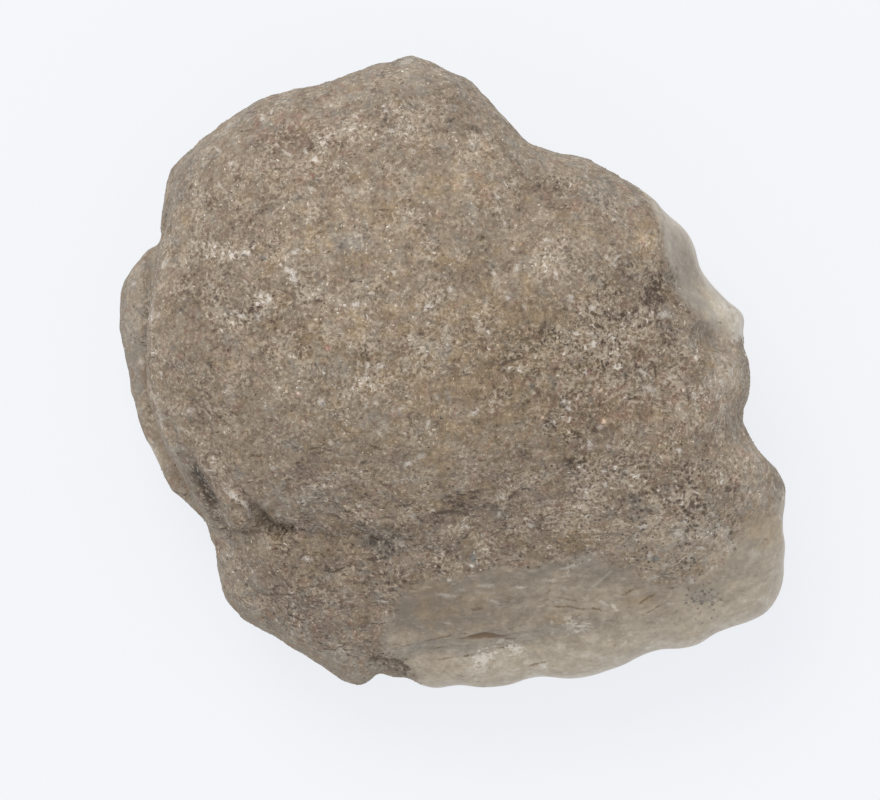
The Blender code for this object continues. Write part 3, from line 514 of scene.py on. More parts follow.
MARKS = {
    "rust": RUST, "chalk": CHALK, "pitting": PITTING, "milk": MILK, "shade": SHADE, "ochre": OCHRE,
    "cool": COOL, "slate": SLATE,
}
# How much painted shade darkens the west groove and the pit beside it.
HOLLOW_SHADE = 0.40
FRAMES = ("hairlines_1", "hairlines_2", "flecks_1", "flecks_2")

# The grit: where it lies, how its grains' sizes and shapes spread, and how light they are.
GRIT_LOTS = 4
GRIT_VALUES = (
    "shade", "ochre", "cool", "slate", "rust", "chalk", "pitting", "flaky", "outer", "worn", *FRAMES)
GRIT_EDGE = (0.8, -1.0)
GRIT_LEVELS = (8, 18)
LOW_GRIT = 0.35
GRIT_LOST_TO_PITTING = 0.5
GRIT_LOST_ON_SHELF = 0.85
GRIT_LOST_IN_HOLLOW = 2.5
GRAIN_SPREAD = 0.28
PALE_GRAIN_GROWTH = 0.25
GRAIN_UNEVENNESS = (0.75, 1.25)
GRAIN_STRETCH = (0.7, 1.4)
GRAIN_FLATTENING = 0.55
GRAIN_SINK = 0.16
TONE_SPREAD = 0.06
CLOUDS = ((3.4, 1.0, 81), (7.0, 0.6, 82))
CLOUDS_IN_CHALK = 1.2
CLOUD_BAND = (-0.1, 0.8)
STRINGS = (0.9, 0.16, 83)
CHALK_BAND = (0.05, 1.25)
PALE_CHANCE = (0.02, 0.30, 0.55)
PALE_TONES = (0.16, 0.50)
DARK_CHANCE = (0.03, 0.20)
DARK_TONES = (0.12, 0.42)

# A grain's faces: its tips 0 to 3 lie round its middle, 4 above it and 5 below.
GRAIN_SIDES = np.array([
    (0, 2, 4), (2, 1, 4), (1, 3, 4), (3, 0, 4), (2, 0, 5), (1, 2, 5), (3, 1, 5), (0, 3, 5)])

# The flat map for textures: its name and the free edge round each of the stone's six parts.
MAP_NAME = "OFBake"
MAP_GAP = 0.01

# The surfaces. The light that wanders in the chalcedony has a weight and a reach by colour, and the finest
# relief is a depth in millimetres.
RIND_ROUGHNESS = 0.88
GRIT_ROUGHNESS = 0.75
INNER_LIGHT = 0.30
INNER_LIGHT_REACH = (1.0, 0.85, 0.65)
FINEST_RELIEF = 0.16

# The stage, in metres.
FLOOR_HALF = 1.5
FLOOR_PAINT = (0.12, 0.12, 0.12)
FLOOR_ROUGHNESS = 0.9
FLOOR_GLOW = 0.88
SKY_COLOUR = (0.93, 0.96, 1.0)
SKY_STRENGTH = 0.84
KEY_PLACE = (-0.2, 0.45, 0.75)
KEY_SIZE = 0.5
KEY_COLOUR = (1.0, 0.98, 0.95)
CAMERA_PLACE = (-0.00162, -0.00392)
RIM_LEVEL = 0.018
SENSOR_WIDTH = 36
CAMERA_CLIP = (0.01, 10)


def colour_setting(name, description, default):
    """A colour that a user can change."""
    return FloatVectorProperty(
        name=name, description=description, default=default, subtype="COLOR", size=3, min=0, max=1)


class RindSettings(PropertyGroup):
    grain_size: FloatProperty(
        name="Grain size", description="Middle width of the rind's sand grains",
        default=0.00046, min=0.0001, unit="LENGTH")
    grains: IntProperty(
        name="Grains", description="How many grains each of the four lots of grit holds",
        default=24500, min=100, max=24999)
    sandy: colour_setting("Sandy", "Colour of the rind's light grains", (0.46, 0.378, 0.288))
    taupe: colour_setting("Taupe", "Middle colour of the rind", (0.283, 0.220, 0.1575))
    umber: colour_setting("Umber", "Colour of the rind's dark grains", (0.148, 0.105, 0.073))
    pit: colour_setting("Pits", "Colour in the rind's pits and cracks", (0.068, 0.044, 0.028))
    ochre: colour_setting("Ochre", "Colour of the rind's iron stains", (0.35, 0.245, 0.138))
    rust: colour_setting("Rust", "Colour of its few red grains", (0.36, 0.19, 0.14))
    cool: colour_setting("Cool grey", "Colour of the rind's grey patches", (0.250, 0.224, 0.188))
    slate: colour_setting("Slate", "Colour of the few blue-grey spots", (0.135, 0.142, 0.136))
    chalk: colour_setting("Chalk", "Colour of the white crust", (0.66, 0.60, 0.53))


class ChalcedonySettings(PropertyGroup):
    deep: colour_setting("Deep", "Colour of its darkest parts", (0.195, 0.157, 0.115))
    clear: colour_setting("Clear", "Colour of the clear chalcedony", (0.250, 0.202, 0.147))
    cloudy: colour_setting("Cloudy", "Colour of the cloudy chalcedony near the rim", (0.435, 0.366, 0.277))
    milky: colour_setting("Milky", "Colour of its milky flecks", (0.62, 0.565, 0.485))
    crevice: colour_setting("Crevice", "Colour in the brown crevice", (0.135, 0.082, 0.037))
    roughness: FloatProperty(
        name="Roughness", description="Roughness of the bare chalcedony", default=0.40, min=0, max=1,
        subtype="FACTOR")
    depth: FloatProperty(
        name="Depth", description="How far light wanders inside the chalcedony", default=0.0012, min=0,
        unit="LENGTH")


class StageSettings(PropertyGroup):
    camera_height: FloatProperty(
        name="Camera height", description="Height of the camera over the table", default=0.8, min=0.1,
        unit="LENGTH")
    view_width: FloatProperty(
        name="View width", description="Width of the view at the height of the stone's rim",
        default=0.1188, min=0.01, unit="LENGTH")
    floor: colour_setting("Floor", "Colour of the floor", (0.872, 0.892, 0.93))
    key_power: FloatProperty(
        name="Key light", description="Power of the soft light from the north", default=4.1, min=0,
        unit="POWER")


# ---------------------------------------------------------------- the stone's form


def smoothed_between(angle, known_angle, known_value):
    """A closed curve of values over the azimuth: each span is a cubic that meets its neighbours' slopes."""
    order = np.argsort(known_angle)
    turn = 2 * np.pi
    a = known_angle[order]
    v = known_value[order]
    a = np.concatenate([a[-3:] - turn, a, a[:3] + turn])
    v = np.concatenate([v[-3:], v, v[:3]])
    slope = np.gradient(v, a)
    angle = (angle - a[3]) % turn + a[3]
    i = np.clip(np.searchsorted(a, angle, side="right") - 1, 0, len(a) - 2)
    span = a[i + 1] - a[i]
    u = (angle - a[i]) / span
    ends = v[i] * (1 + 2 * u) * (1 - u) ** 2 + v[i + 1] * (3 - 2 * u) * u**2
    return ends + span * u * (1 - u) * (slope[i] * (1 - u) - slope[i + 1] * u)


def outline_radius(azimuth):
    """Distance from the middle to the outline in each direction."""
    x, y = np.array(OUTLINE).T
    return smoothed_between(azimuth, np.arctan2(y, x) % (2 * np.pi), np.hypot(x, y))


def rim_height(azimuth):
    """Height of the widest level in each direction."""
    degrees, height = np.array(RIM_HEIGHTS).T
    return smoothed_between(azimuth, np.radians(degrees), height)


def eased(u):
    """0 below 0, 1 above 1, and an S-curve between."""
    u = np.clip(u, 0, 1)
    return u * u * (3 - 2 * u)


def band(value, low, high):
    """An S-curve that is 0 at low and 1 at high, which may be the lesser of the two."""
    return eased((value - low) / (high - low))


def fading_ends(progress, share):
    """1 along a path and 0 at its two ends: an S-curve over a share of its length at each."""
    return eased(progress / share) * eased((1 - progress) / share)


def ramp(distance, softness):
    """The distance where it is positive and 0 where it is negative, with a soft bend between."""
    return softness * np.logaddexp(0, distance / softness)


def from_path(x, y, path):
    """Distance to a path, positive to its left, and how far along it the nearest point is, 0 to 1."""
    nearest = np.full(np.shape(x), np.inf)
    offset = np.zeros(np.shape(x))
    progress = np.zeros(np.shape(x))
    spans = len(path) - 1
    for i, ((ax, ay), (bx, by)) in enumerate(zip(path, path[1:])):
        dx, dy = bx - ax, by - ay
        along = np.clip(((x - ax) * dx + (y - ay) * dy) / (dx * dx + dy * dy), 0, 1)
        away = np.hypot(x - ax - along * dx, y - ay - along * dy)
        left = np.where(dx * (y - ay) - dy * (x - ax) >= 0, away, -away)
        closer = away < nearest
        offset = np.where(closer, left, offset)
        progress = np.where(closer, (i + along) / spans, progress)
        nearest = np.minimum(away, nearest)
    return offset, progress


def ledge(x, y, path, drop, width):
    """How much lower the ground is right of a path: an S-curve across it, fading out at its ends."""
    offset, progress = from_path(x, y, path)
    return drop * fading_ends(progress, LEDGE_END) * eased(0.5 - offset / width)


def hump(x, y, place):
    """A round-topped bell over an ellipse, turned by an angle."""
    cx, cy, half_length, half_width, turn, height = place
    c, s = np.cos(np.radians(turn)), np.sin(np.radians(turn))
    u = ((x - cx) * c + (y - cy) * s) / half_length
    v = ((y - cy) * c - (x - cx) * s) / half_width
    return height * np.exp(-(u * u + v * v))


def groove(x, y, path, depth, half_width):
    """A bell-shaped furrow along a path."""
    offset, _ = from_path(x, y, path)
    return depth * np.exp(-((offset / half_width) ** 2))


def lumps(points, spacing, seed):
    """Smooth random values from -1 to 1: a seeded lattice, eased between its eight nearest values."""
    lattice = np.random.default_rng(seed).uniform(-1, 1, (LATTICE, LATTICE, LATTICE))
    cell = np.floor(points / spacing).astype(int)
    part = eased(points / spacing - cell)
    total = np.zeros(points.shape[:-1])
    for corner in product((0, 1), repeat=3):
        weight = np.prod(np.where(corner, part, 1 - part), axis=-1)
        i, j, k = np.moveaxis((cell + corner) % LATTICE, -1, 0)
        total += weight * lattice[i, j, k]
    return total


def rolling(points, layers):
    """The sum of layers of lumps, each (spacing, height, seed)."""
    return sum(height * lumps(points, spacing, seed) for spacing, height, seed in layers)


def ground(x, y):
    """Height of the upper surface over the plan: a dome, the south slope, ledges, humps and grooves."""
    z = TOP - (x - CROWN[0]) ** 2 / (2 * DOME_RADIUS[0]) - (y - CROWN[1]) ** 2 / (2 * DOME_RADIUS[1])
    steepness = np.interp(x, SOUTH_SLOPE_SPAN, SOUTH_SLOPE)
    z -= steepness * ramp(SOUTH_SLOPE_START - y, SOUTH_SLOPE_SOFTNESS)
    z += SOUTH_FOOT_RISE * ramp(SOUTH_FOOT_START - y, SOUTH_FOOT_SOFTNESS)
    for place in LEDGES.values():
        z -= ledge(x, y, *place)
    for place in HUMPS.values():
        z += hump(x, y, place)
    for place in GROOVES.values():
        z -= groove(x, y, *place)
    return z


def section(fall, squareness):
    """A quarter of a super-ellipse walked at an even pace: reach from the axis and rise, both 0 to 1."""
    angle = (np.linspace(0, 1, SECTION_STEPS) ** 2) * np.pi / 2
    reach = np.sin(angle) ** (2 / squareness)
    rise = np.maximum(np.cos(angle), 0) ** (2 / squareness)
    step = np.hypot(np.diff(reach) * HALF_WIDTH, np.diff(rise) * HALF_HEIGHT)
    walked = np.concatenate([[0], np.cumsum(step)])
    walked /= walked[-1]
    return np.interp(fall, walked, reach), np.interp(fall, walked, rise)


def stone_surface(azimuth, fall):
    """Points of the stone. `fall` is 0 at the crown, 1 at the rim and 2 under the middle.

    Above the rim the height runs from the rim to the ground by a super-ellipse, and below it from
    the rim to a shallow bowl, whose part under the table is cut off flat. The outline's small bays
    fade away from the rim. Lumps then push the points out or in, less so at the rim, and the broken
    faces cut the flanks below it.
    """
    upper = fall <= 1
    reach_up, rise_up = section(np.minimum(fall, 1), TOP_SQUARENESS)
    reach_down, rise_down = section(np.minimum(2 - fall, 1), UNDERSIDE_SQUARENESS)
    reach = np.where(upper, reach_up, reach_down)
    rise = np.where(upper, rise_up, rise_down)
    broad = np.mean([outline_radius(azimuth + turn) for turn in OUTLINE_SMOOTHING], axis=0)
    near_rim = np.exp(-(((fall - 1) / OUTLINE_DETAIL_REACH) ** 2))
    radius = (broad + (outline_radius(azimuth) - broad) * near_rim) * reach
    x, y = radius * np.cos(azimuth), radius * np.sin(azimuth)
    rim = rim_height(azimuth)
    bowl = ((x - SPOT_CENTRE[0]) ** 2 + (y - SPOT_CENTRE[1]) ** 2) / (2 * UNDERSIDE_RADIUS) - SPOT_SINK
    crest = LEAST_RISE + ramp(ground(x, y) - rim - LEAST_RISE, LEAST_RISE_SOFTNESS)
    z = rim + np.where(upper, crest, bowl - rim) * rise
    points = np.stack([x, y, z], axis=-1)

    squareness = np.where(upper, TOP_SQUARENESS, UNDERSIDE_SQUARENESS)
    outward = reach ** (squareness - 1) / HALF_WIDTH
    upward = np.where(upper, 1, -1) * rise ** (squareness - 1) / HALF_HEIGHT
    way = np.stack([np.cos(azimuth) * outward, np.sin(azimuth) * outward, upward], axis=-1)
    way /= np.linalg.norm(way, axis=-1, keepdims=True)
    off_rim = 1 - RIM_CALM * np.exp(-(((z - rim) / RIM_CALM_REACH) ** 2))
    points = points + way * (rolling(points, LUMPS) * off_rim)[..., None]

    below = eased((rim - FLANK_FACE_START - points[..., 2]) / FLANK_FACE_FADE)
    for degrees, tilt, distance in FLANK_FACES:
        a, t = np.radians(degrees), np.radians(tilt)
        normal = np.array([np.cos(a) * np.cos(t), np.sin(a) * np.cos(t), -np.sin(t)])
        past = ramp(points @ normal - distance, FLANK_FACE_SOFTNESS)
        points = points - normal * (past * below)[..., None]
    points[..., 2] = np.maximum(points[..., 2], 0)
    return points


def cube_sheet(squares):
    """A cube's skin as a closed sheet: each side is a grid of two parameters, joined along the edges.

    Returns corner places from -1 to 1 and the squares' corner numbers, turning outwards.
    """
    steps = np.arange(squares + 1)
    u, v = np.meshgrid(steps, steps, indexing="ij")
    sides = []
    for axis, end in product(range(3), (0, squares)):
        side = np.zeros((*u.shape, 3), int)
        side[..., axis] = end
        side[..., (axis + 1) % 3] = u if end else v
        side[..., (axis + 2) % 3] = v if end else u
        sides.append(side)
    lattice = np.array(sides)
    code = lattice @ np.array([1, squares + 1, (squares + 1) ** 2])
    _, first, number = np.unique(code, return_index=True, return_inverse=True)
    number = number.reshape(code.shape)
    corners = lattice.reshape(-1, 3)[first] * 2 / squares - 1
    a, b, c, d = number[:, :-1, :-1], number[:, 1:, :-1], number[:, 1:, 1:], number[:, :-1, 1:]
    return corners, np.stack([a, b, c, d], axis=-1).reshape(-1, 4)


def normals_of(points, faces):
    """Outward direction at each corner: the mean of its faces' normals, weighted by their area."""
    p = points[faces]
    face = np.cross(p[:, 2] - p[:, 0], p[:, 3] - p[:, 1])
    total = np.stack(
        [np.bincount(faces.ravel(), np.repeat(face[:, k], 4), len(points)) for k in range(3)], axis=-1)
    return total / np.linalg.norm(total, axis=-1, keepdims=True)


# ---------------------------------------------------------------- zones and fine relief


def on_top(p):
    """1 on the upper side and 0 on the underside, with a soft change below the rim."""
    return band(p[:, 2], *UPPER_SIDE)


def bare_distance(p):
    """How far inside the bare chalcedony a point is, negative on the rind, clipped either way.

    It is the distance beyond the rind's two edges, moved to and fro by lumps. Lower down the flank the
    edges come nearer to each other and wander more.
    """
    low = band(p[:, 2], *UNDER_EDGE_LEVELS)
    x = p[:, 0] - UNDER_EDGE_SHIFT[0] * low
    y = p[:, 1] + UNDER_EDGE_SHIFT[1] * low
    south, _ = from_path(x, y, SOUTH_RIND_EDGE)
    east, _ = from_path(x, y, EAST_RIND_EDGE)
    east = np.where(p[:, 0] > EAST_RIND_EDGE_START, east, -EDGE_REACH)
    wander = rolling(p, EDGE_WANDER) + band(p[:, 2], *LOW_WANDER_LEVELS) * rolling(p, LOW_WANDER)
    return np.clip(np.maximum(-south, east) + wander, -EDGE_REACH, EDGE_REACH)


def facing_up(p, normals):
    """1 where the surface faces up, and 0 on steep walls, where a mark would be drawn out, and below."""
    return band(normals[:, 2], *FACING_UP) * on_top(p)


def marks(p, places):
    """The sum of a set of soft marks: bells over turned ellipses."""
    return sum(hump(p[:, 0], p[:, 1], place) for place in places)


def fleck_frame(p, flecks):
    """Each point's place in its nearest fleck: along and across it in its half sizes, and its strength.

    The nearest has the least length of those two, and the strength fades out a little way from it.
    """
    nearest = np.full(len(p), np.inf)
    frame = np.zeros((len(p), 3))
    for x, y, half_length, half_width, turn, strength in flecks:
        c, s = np.cos(np.radians(turn)), np.sin(np.radians(turn))
        along = (p[:, 0] - x) * c + (p[:, 1] - y) * s
        across = (p[:, 1] - y) * c - (p[:, 0] - x) * s
        u, v = along / half_length, across / half_width
        gap = np.hypot(along, across) - max(half_length, half_width)
        shown = strength * band(gap, *FLECK_MARGIN)
        closer = np.hypot(u, v) < nearest
        frame[closer] = np.stack([u, v, shown], -1)[closer]
        nearest = np.minimum(np.hypot(u, v), nearest)
    return frame


def line_frame(p, lines):
    """Each point's place by its nearest line: its distance to the left and its plain distance, less a
    margin, both in the line's half width, and the line's strength.
    """
    nearest = np.full(len(p), np.inf)
    frame = np.zeros((len(p), 3))
    for path, half_width, strength in lines:
        offset, _ = from_path(p[:, 0], p[:, 1], path)
        away = np.abs(offset)
        strengths = np.full(len(p), strength)
        here = np.stack([offset / half_width, (away - LINE_MARGIN) / half_width, strengths], -1)
        closer = away < nearest
        frame[closer] = here[closer]
        nearest = np.minimum(away, nearest)
    return frame


def crevice_depth(p):
    """1 in the middle of the crevice and 0 beside it: a bell across it that is widest part-way along."""
    offset, _ = from_path(p[:, 0], p[:, 1], CREVICE)
    wide = np.exp(-(((p[:, 0] - CREVICE_WIDEST) / CREVICE_SWELL) ** 2))
    half_width = CREVICE_HALF_WIDTH[0] + CREVICE_HALF_WIDTH[1] * wide
    strength = CREVICE_STRENGTH[0] + CREVICE_STRENGTH[1] * wide
    return np.exp(-((offset / half_width) ** 2)) * strength * on_top(p)


def flaky(p):
    """1 on the steep south slope, where the rind is in flakes, and 0 away from it. It raises the flaky ridges
    and sets where dark dashes are painted as shadows under them.
    """
    slope = np.prod([band(p[:, axis], *levels) for axis, levels in enumerate(FLAKY_SLOPE)], axis=0)
    return slope * on_top(p)


def shelf(p):
    """1 on the low shelf west of the west ledge and 0 elsewhere."""
    offset, _ = from_path(p[:, 0], p[:, 1], WEST_LEDGE)
    north, south = (band(p[:, 1], *levels) for levels in SHELF_ENDS)
    return eased(-offset) * north * south * on_top(p)


def hollow(p):
    """1 along the west groove and in the pit beside it, and 0 away from them: wide bells across the deepest
    furrows, fading out at their ends.
    """
    deep = []
    for path, depth, half_width in FURROWS:
        if depth > HOLLOW_LEAST_DEPTH:
            offset, progress = from_path(p[:, 0], p[:, 1], path)
            across = np.exp(-((offset / (HOLLOW_SPREAD * half_width)) ** 2))
            deep.append(fading_ends(progress, HOLLOW_END) * across)
    return np.max(deep, axis=0) * on_top(p)


def toward_rim(p):
    """0 over the middle of the stone, 1 at its outline and half as much below it. On the rind it is painted
    rim light, lighter and cooler towards the outline; on the chalcedony it makes the colour cloudier and
    paler there, partly its own cloudy rim and partly painted light.
    """
    x, y, z = p.T
    reach = np.hypot(x, y) / outline_radius(np.arctan2(y, x))
    low = LOW_FLANK_SHARE * band(z, *LOW_FLANK)
    return np.maximum(band(reach, *RIM_REACH) * (1 - low), low)


def relief(p, bare):
    """Fine height over the stone's form.

    Grit lumps lie on the rind, long flaky ridges on the south slope, furrows on the west side, faint
    waves on the chalcedony, and the crevice is sunk in it.
    """
    furrows = sum(groove(p[:, 0], p[:, 1], *furrow) for furrow in FURROWS) * on_top(p)
    wall, _ = from_path(p[:, 0], p[:, 1], WEST_LEDGE)
    calm = 1 - WALL_CALM * np.exp(-((wall / WEST_LEDGE_WIDTH) ** 2)) * on_top(p)
    flakes = rolling(p * (1 / FLAKE_STRETCH, 1, 1), FLAKE_RELIEF) * flaky(p)
    rind = (rolling(p, RIND_RELIEF) + flakes) * calm - furrows - RIND_SINK
    stone = rolling(p, CHALCEDONY_RELIEF) - CREVICE_SINK * crevice_depth(p)
    smooth = band(bare, *BARE_EDGE)
    return rind * (1 - smooth) + stone * smooth


def zone_values(p, normals):
    """What the materials need to know at each point, by name: one number, or three in a frame's."""
    facing = facing_up(p, normals)
    sunk = hollow(p)
    values = {name: marks(p, places) * facing for name, places in MARKS.items()}
    for lot, (lines, flecks) in enumerate(zip(HAIRLINES, FLECKS)):
        values[f"hairlines_{lot + 1}"] = line_frame(p, lines)
        values[f"flecks_{lot + 1}"] = fleck_frame(p, flecks)
    for name in FRAMES:
        values[name][:, 2] *= facing
    values["bare"] = bare_distance(p)
    values["flaky"] = flaky(p)
    # Painted rim light on the rind, and a cloudier chalcedony rim that is partly painted light.
    values["outer"] = toward_rim(p)
    # Painted shade in the west groove and the pit beside it.
    values["shade"] -= HOLLOW_SHADE * sunk**1.5
    values["worn"] = np.max([band(p[:, 2], *WORN_LEVELS), SHELF_WEAR * shelf(p), sunk], axis=0)
    values["crevice"] = crevice_depth(p)
    return values


# ---------------------------------------------------------------- meshes


def new_piece(name, points, faces, values, places_on_map, material):
    """A shown piece from points in millimetres, faces and values per point, riding on the stone's body."""
    mesh = bpy.data.meshes.new(name)
    mesh.from_pydata(points * MM, [], faces)
    mesh.shade_smooth()
    for key, value in values.items():
        kind, field = ("FLOAT_VECTOR", "vector") if value.ndim == 2 else ("FLOAT", "value")
        layer = mesh.attributes.new(key, kind, "POINT")
        layer.data.foreach_set(field, value.astype(np.float32).ravel())
    mesh.uv_layers.new(name=MAP_NAME).uv.foreach_set("vector", places_on_map.astype(np.float32).ravel())
    mesh.materials.append(material)
    piece = bpy.data.objects.new(name, mesh)
    bpy.context.scene.collection.objects.link(piece)
    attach(piece, BODY)
    return piece


def side_map(squares):
    """Where each corner of each square lies on the flat map: the cube's six sides, three by two."""
    steps = np.arange(squares) / squares
    u, v = np.meshgrid(steps, steps, indexing="ij")
    corner = np.array([(0, 0), (1, 0), (1, 1), (0, 1)]) / squares
    cell = (np.stack([u, v], -1)[:, :, None] + corner) * (1 - 2 * MAP_GAP) + MAP_GAP
    sides = [(cell + (side % 3, side // 3)) / (3, 2) for side in range(6)]
    return np.array(sides)


def fine_stone():
    """The stone's surface at full fineness: points, squares and the zone values at each point."""
    corners, faces = cube_sheet(FINE_EDGE)
    x, y, z = np.tan(corners * np.pi / 4).T
    from_crown = np.degrees(np.arctan2(np.hypot(x, y), z))
    above = from_crown / FINE_RIM_ANGLE
    under = (180 - from_crown) / (180 - FINE_RIM_ANGLE)
    fall = np.where(from_crown <= FINE_RIM_ANGLE, above, 2 - under)
    points = stone_surface(np.arctan2(y, x), fall)
    normals = normals_of(points, faces)
    values = zone_values(points, normals)
    points = points + normals * relief(points, values["bare"])[:, None]
    points[:, 2] = np.maximum(points[:, 2], 0)
    return points, faces, values


def grain_map(count):
    """Where each corner of each grain's faces lies on the flat map: a small cell per grain, with its upper
    four faces round the middle of the left half and its lower four round that of the right half.
    """
    ring = np.array([(0.04, 0.06), (0.46, 0.94), (0.46, 0.06), (0.04, 0.94), (0.25, 0.5), (0.25, 0.5)])
    fans = ring[GRAIN_SIDES]
    fans[4:, :, 0] += 0.5
    across = int(np.ceil(np.sqrt(count)))
    number = np.arange(count)
    cell = np.stack([number % across, number // across], -1)
    return (cell[:, None, None] + fans) / across


def scattered(points, faces, weight, count, seed):
    """Random places on the surface, as many per area as the weight asks: points and normals."""
    rng = np.random.default_rng(seed)
    p = points[faces]
    cross = np.cross(p[:, 2] - p[:, 0], p[:, 3] - p[:, 1])
    size = np.linalg.norm(cross, axis=-1)
    chance = size * weight[faces].mean(axis=1)
    pick = rng.choice(len(faces), count, p=chance / chance.sum())
    u, v = rng.random((2, count, 1))
    q = p[pick]
    place = (q[:, 0] * (1 - u) + q[:, 1] * u) * (1 - v) + (q[:, 3] * (1 - u) + q[:, 2] * u) * v
    return place, cross[pick] / size[pick, None]


def grain_mesh(places, normals, sizes, seed):
    """Grains as eight-faced crystals: an octahedron's six tips, uneven, stretched and turned at random, then
    pressed flat against the surface.
    """
    rng = np.random.default_rng(seed)
    count = len(places)
    tips = np.array([(1, 0, 0), (-1, 0, 0), (0, 1, 0), (0, -1, 0), (0, 0, 1), (0, 0, -1)], float)
    uneven = rng.uniform(*GRAIN_UNEVENNESS, (count, 6, 1))
    shape = tips * uneven * rng.uniform(*GRAIN_STRETCH, (count, 1, 3))
    turn = rng.normal(size=(count, 4))
    turn /= np.linalg.norm(turn, axis=-1, keepdims=True)
    w, x, y, z = turn.T
    spin = np.array([
        [1 - 2 * (y * y + z * z), 2 * (x * y - w * z), 2 * (x * z + w * y)],
        [2 * (x * y + w * z), 1 - 2 * (x * x + z * z), 2 * (y * z - w * x)],
        [2 * (x * z - w * y), 2 * (y * z + w * x), 1 - 2 * (x * x + y * y)],
    ])
    shape = np.einsum("abn,nkb->nka", spin, shape) * (sizes / 2)[:, None, None]
    shape -= GRAIN_FLATTENING * np.einsum("nkb,nb->nk", shape, normals)[..., None] * normals[:, None]
    centre = places - normals * (sizes * GRAIN_SINK)[:, None]
    points = (centre[:, None] + shape).reshape(-1, 3)
    points[:, 2] = np.maximum(points[:, 2], 0)
    faces = (np.arange(count)[:, None, None] * 6 + GRAIN_SIDES).reshape(-1, 3)
    return points, faces


def grit_weight(p, values):
    """How thickly the grains lie: full on the rind, and thinner on pitted and low places, on the shelf and in
    the hollow.
    """
    covered = band(values["bare"], *GRIT_EDGE) * (1 - GRIT_LOST_TO_PITTING * np.clip(values["pitting"], 0, 1))
    high = LOW_GRIT + (1 - LOW_GRIT) * band(p[:, 2], *GRIT_LEVELS)
    left = (1 - GRIT_LOST_ON_SHELF * shelf(p)) * (1 - np.minimum(GRIT_LOST_IN_HOLLOW * hollow(p), 1))
    return covered * high * left


def grain_tones(p, values, seed):
    """How light each grain is, from -1 to 1.

    Most are near 0. Light ones lie in chalk and in curly strings, which are the zero lines of smooth
    lumps. Dark ones lie in pitted places.
    """
    rng = np.random.default_rng(seed)
    tone = rng.normal(0, TONE_SPREAD, len(p))
    chalk = values["chalk"]
    cloud = rolling(p, CLOUDS) + CLOUDS_IN_CHALK * chalk
    spacing, width, string_seed = STRINGS
    string = np.exp(-((lumps(p, spacing, string_seed) / width) ** 2)) * band(cloud, *CLOUD_BAND)
    anywhere, in_chalk, in_string = PALE_CHANCE
    chalky = np.clip(chalk, *CHALK_BAND) - CHALK_BAND[0]
    pale = rng.random(len(p)) < anywhere + in_chalk * chalky + in_string * string
    tone[pale] += rng.uniform(*PALE_TONES, pale.sum())
    anywhere, in_pits = DARK_CHANCE
    dark = rng.random(len(p)) < anywhere + in_pits * np.clip(values["pitting"], 0, 1)
    dark &= ~pale
    tone[dark] -= rng.uniform(*DARK_TONES, dark.sum())
    return np.clip(tone, -1, 1)


# ---------------------------------------------------------------- materials


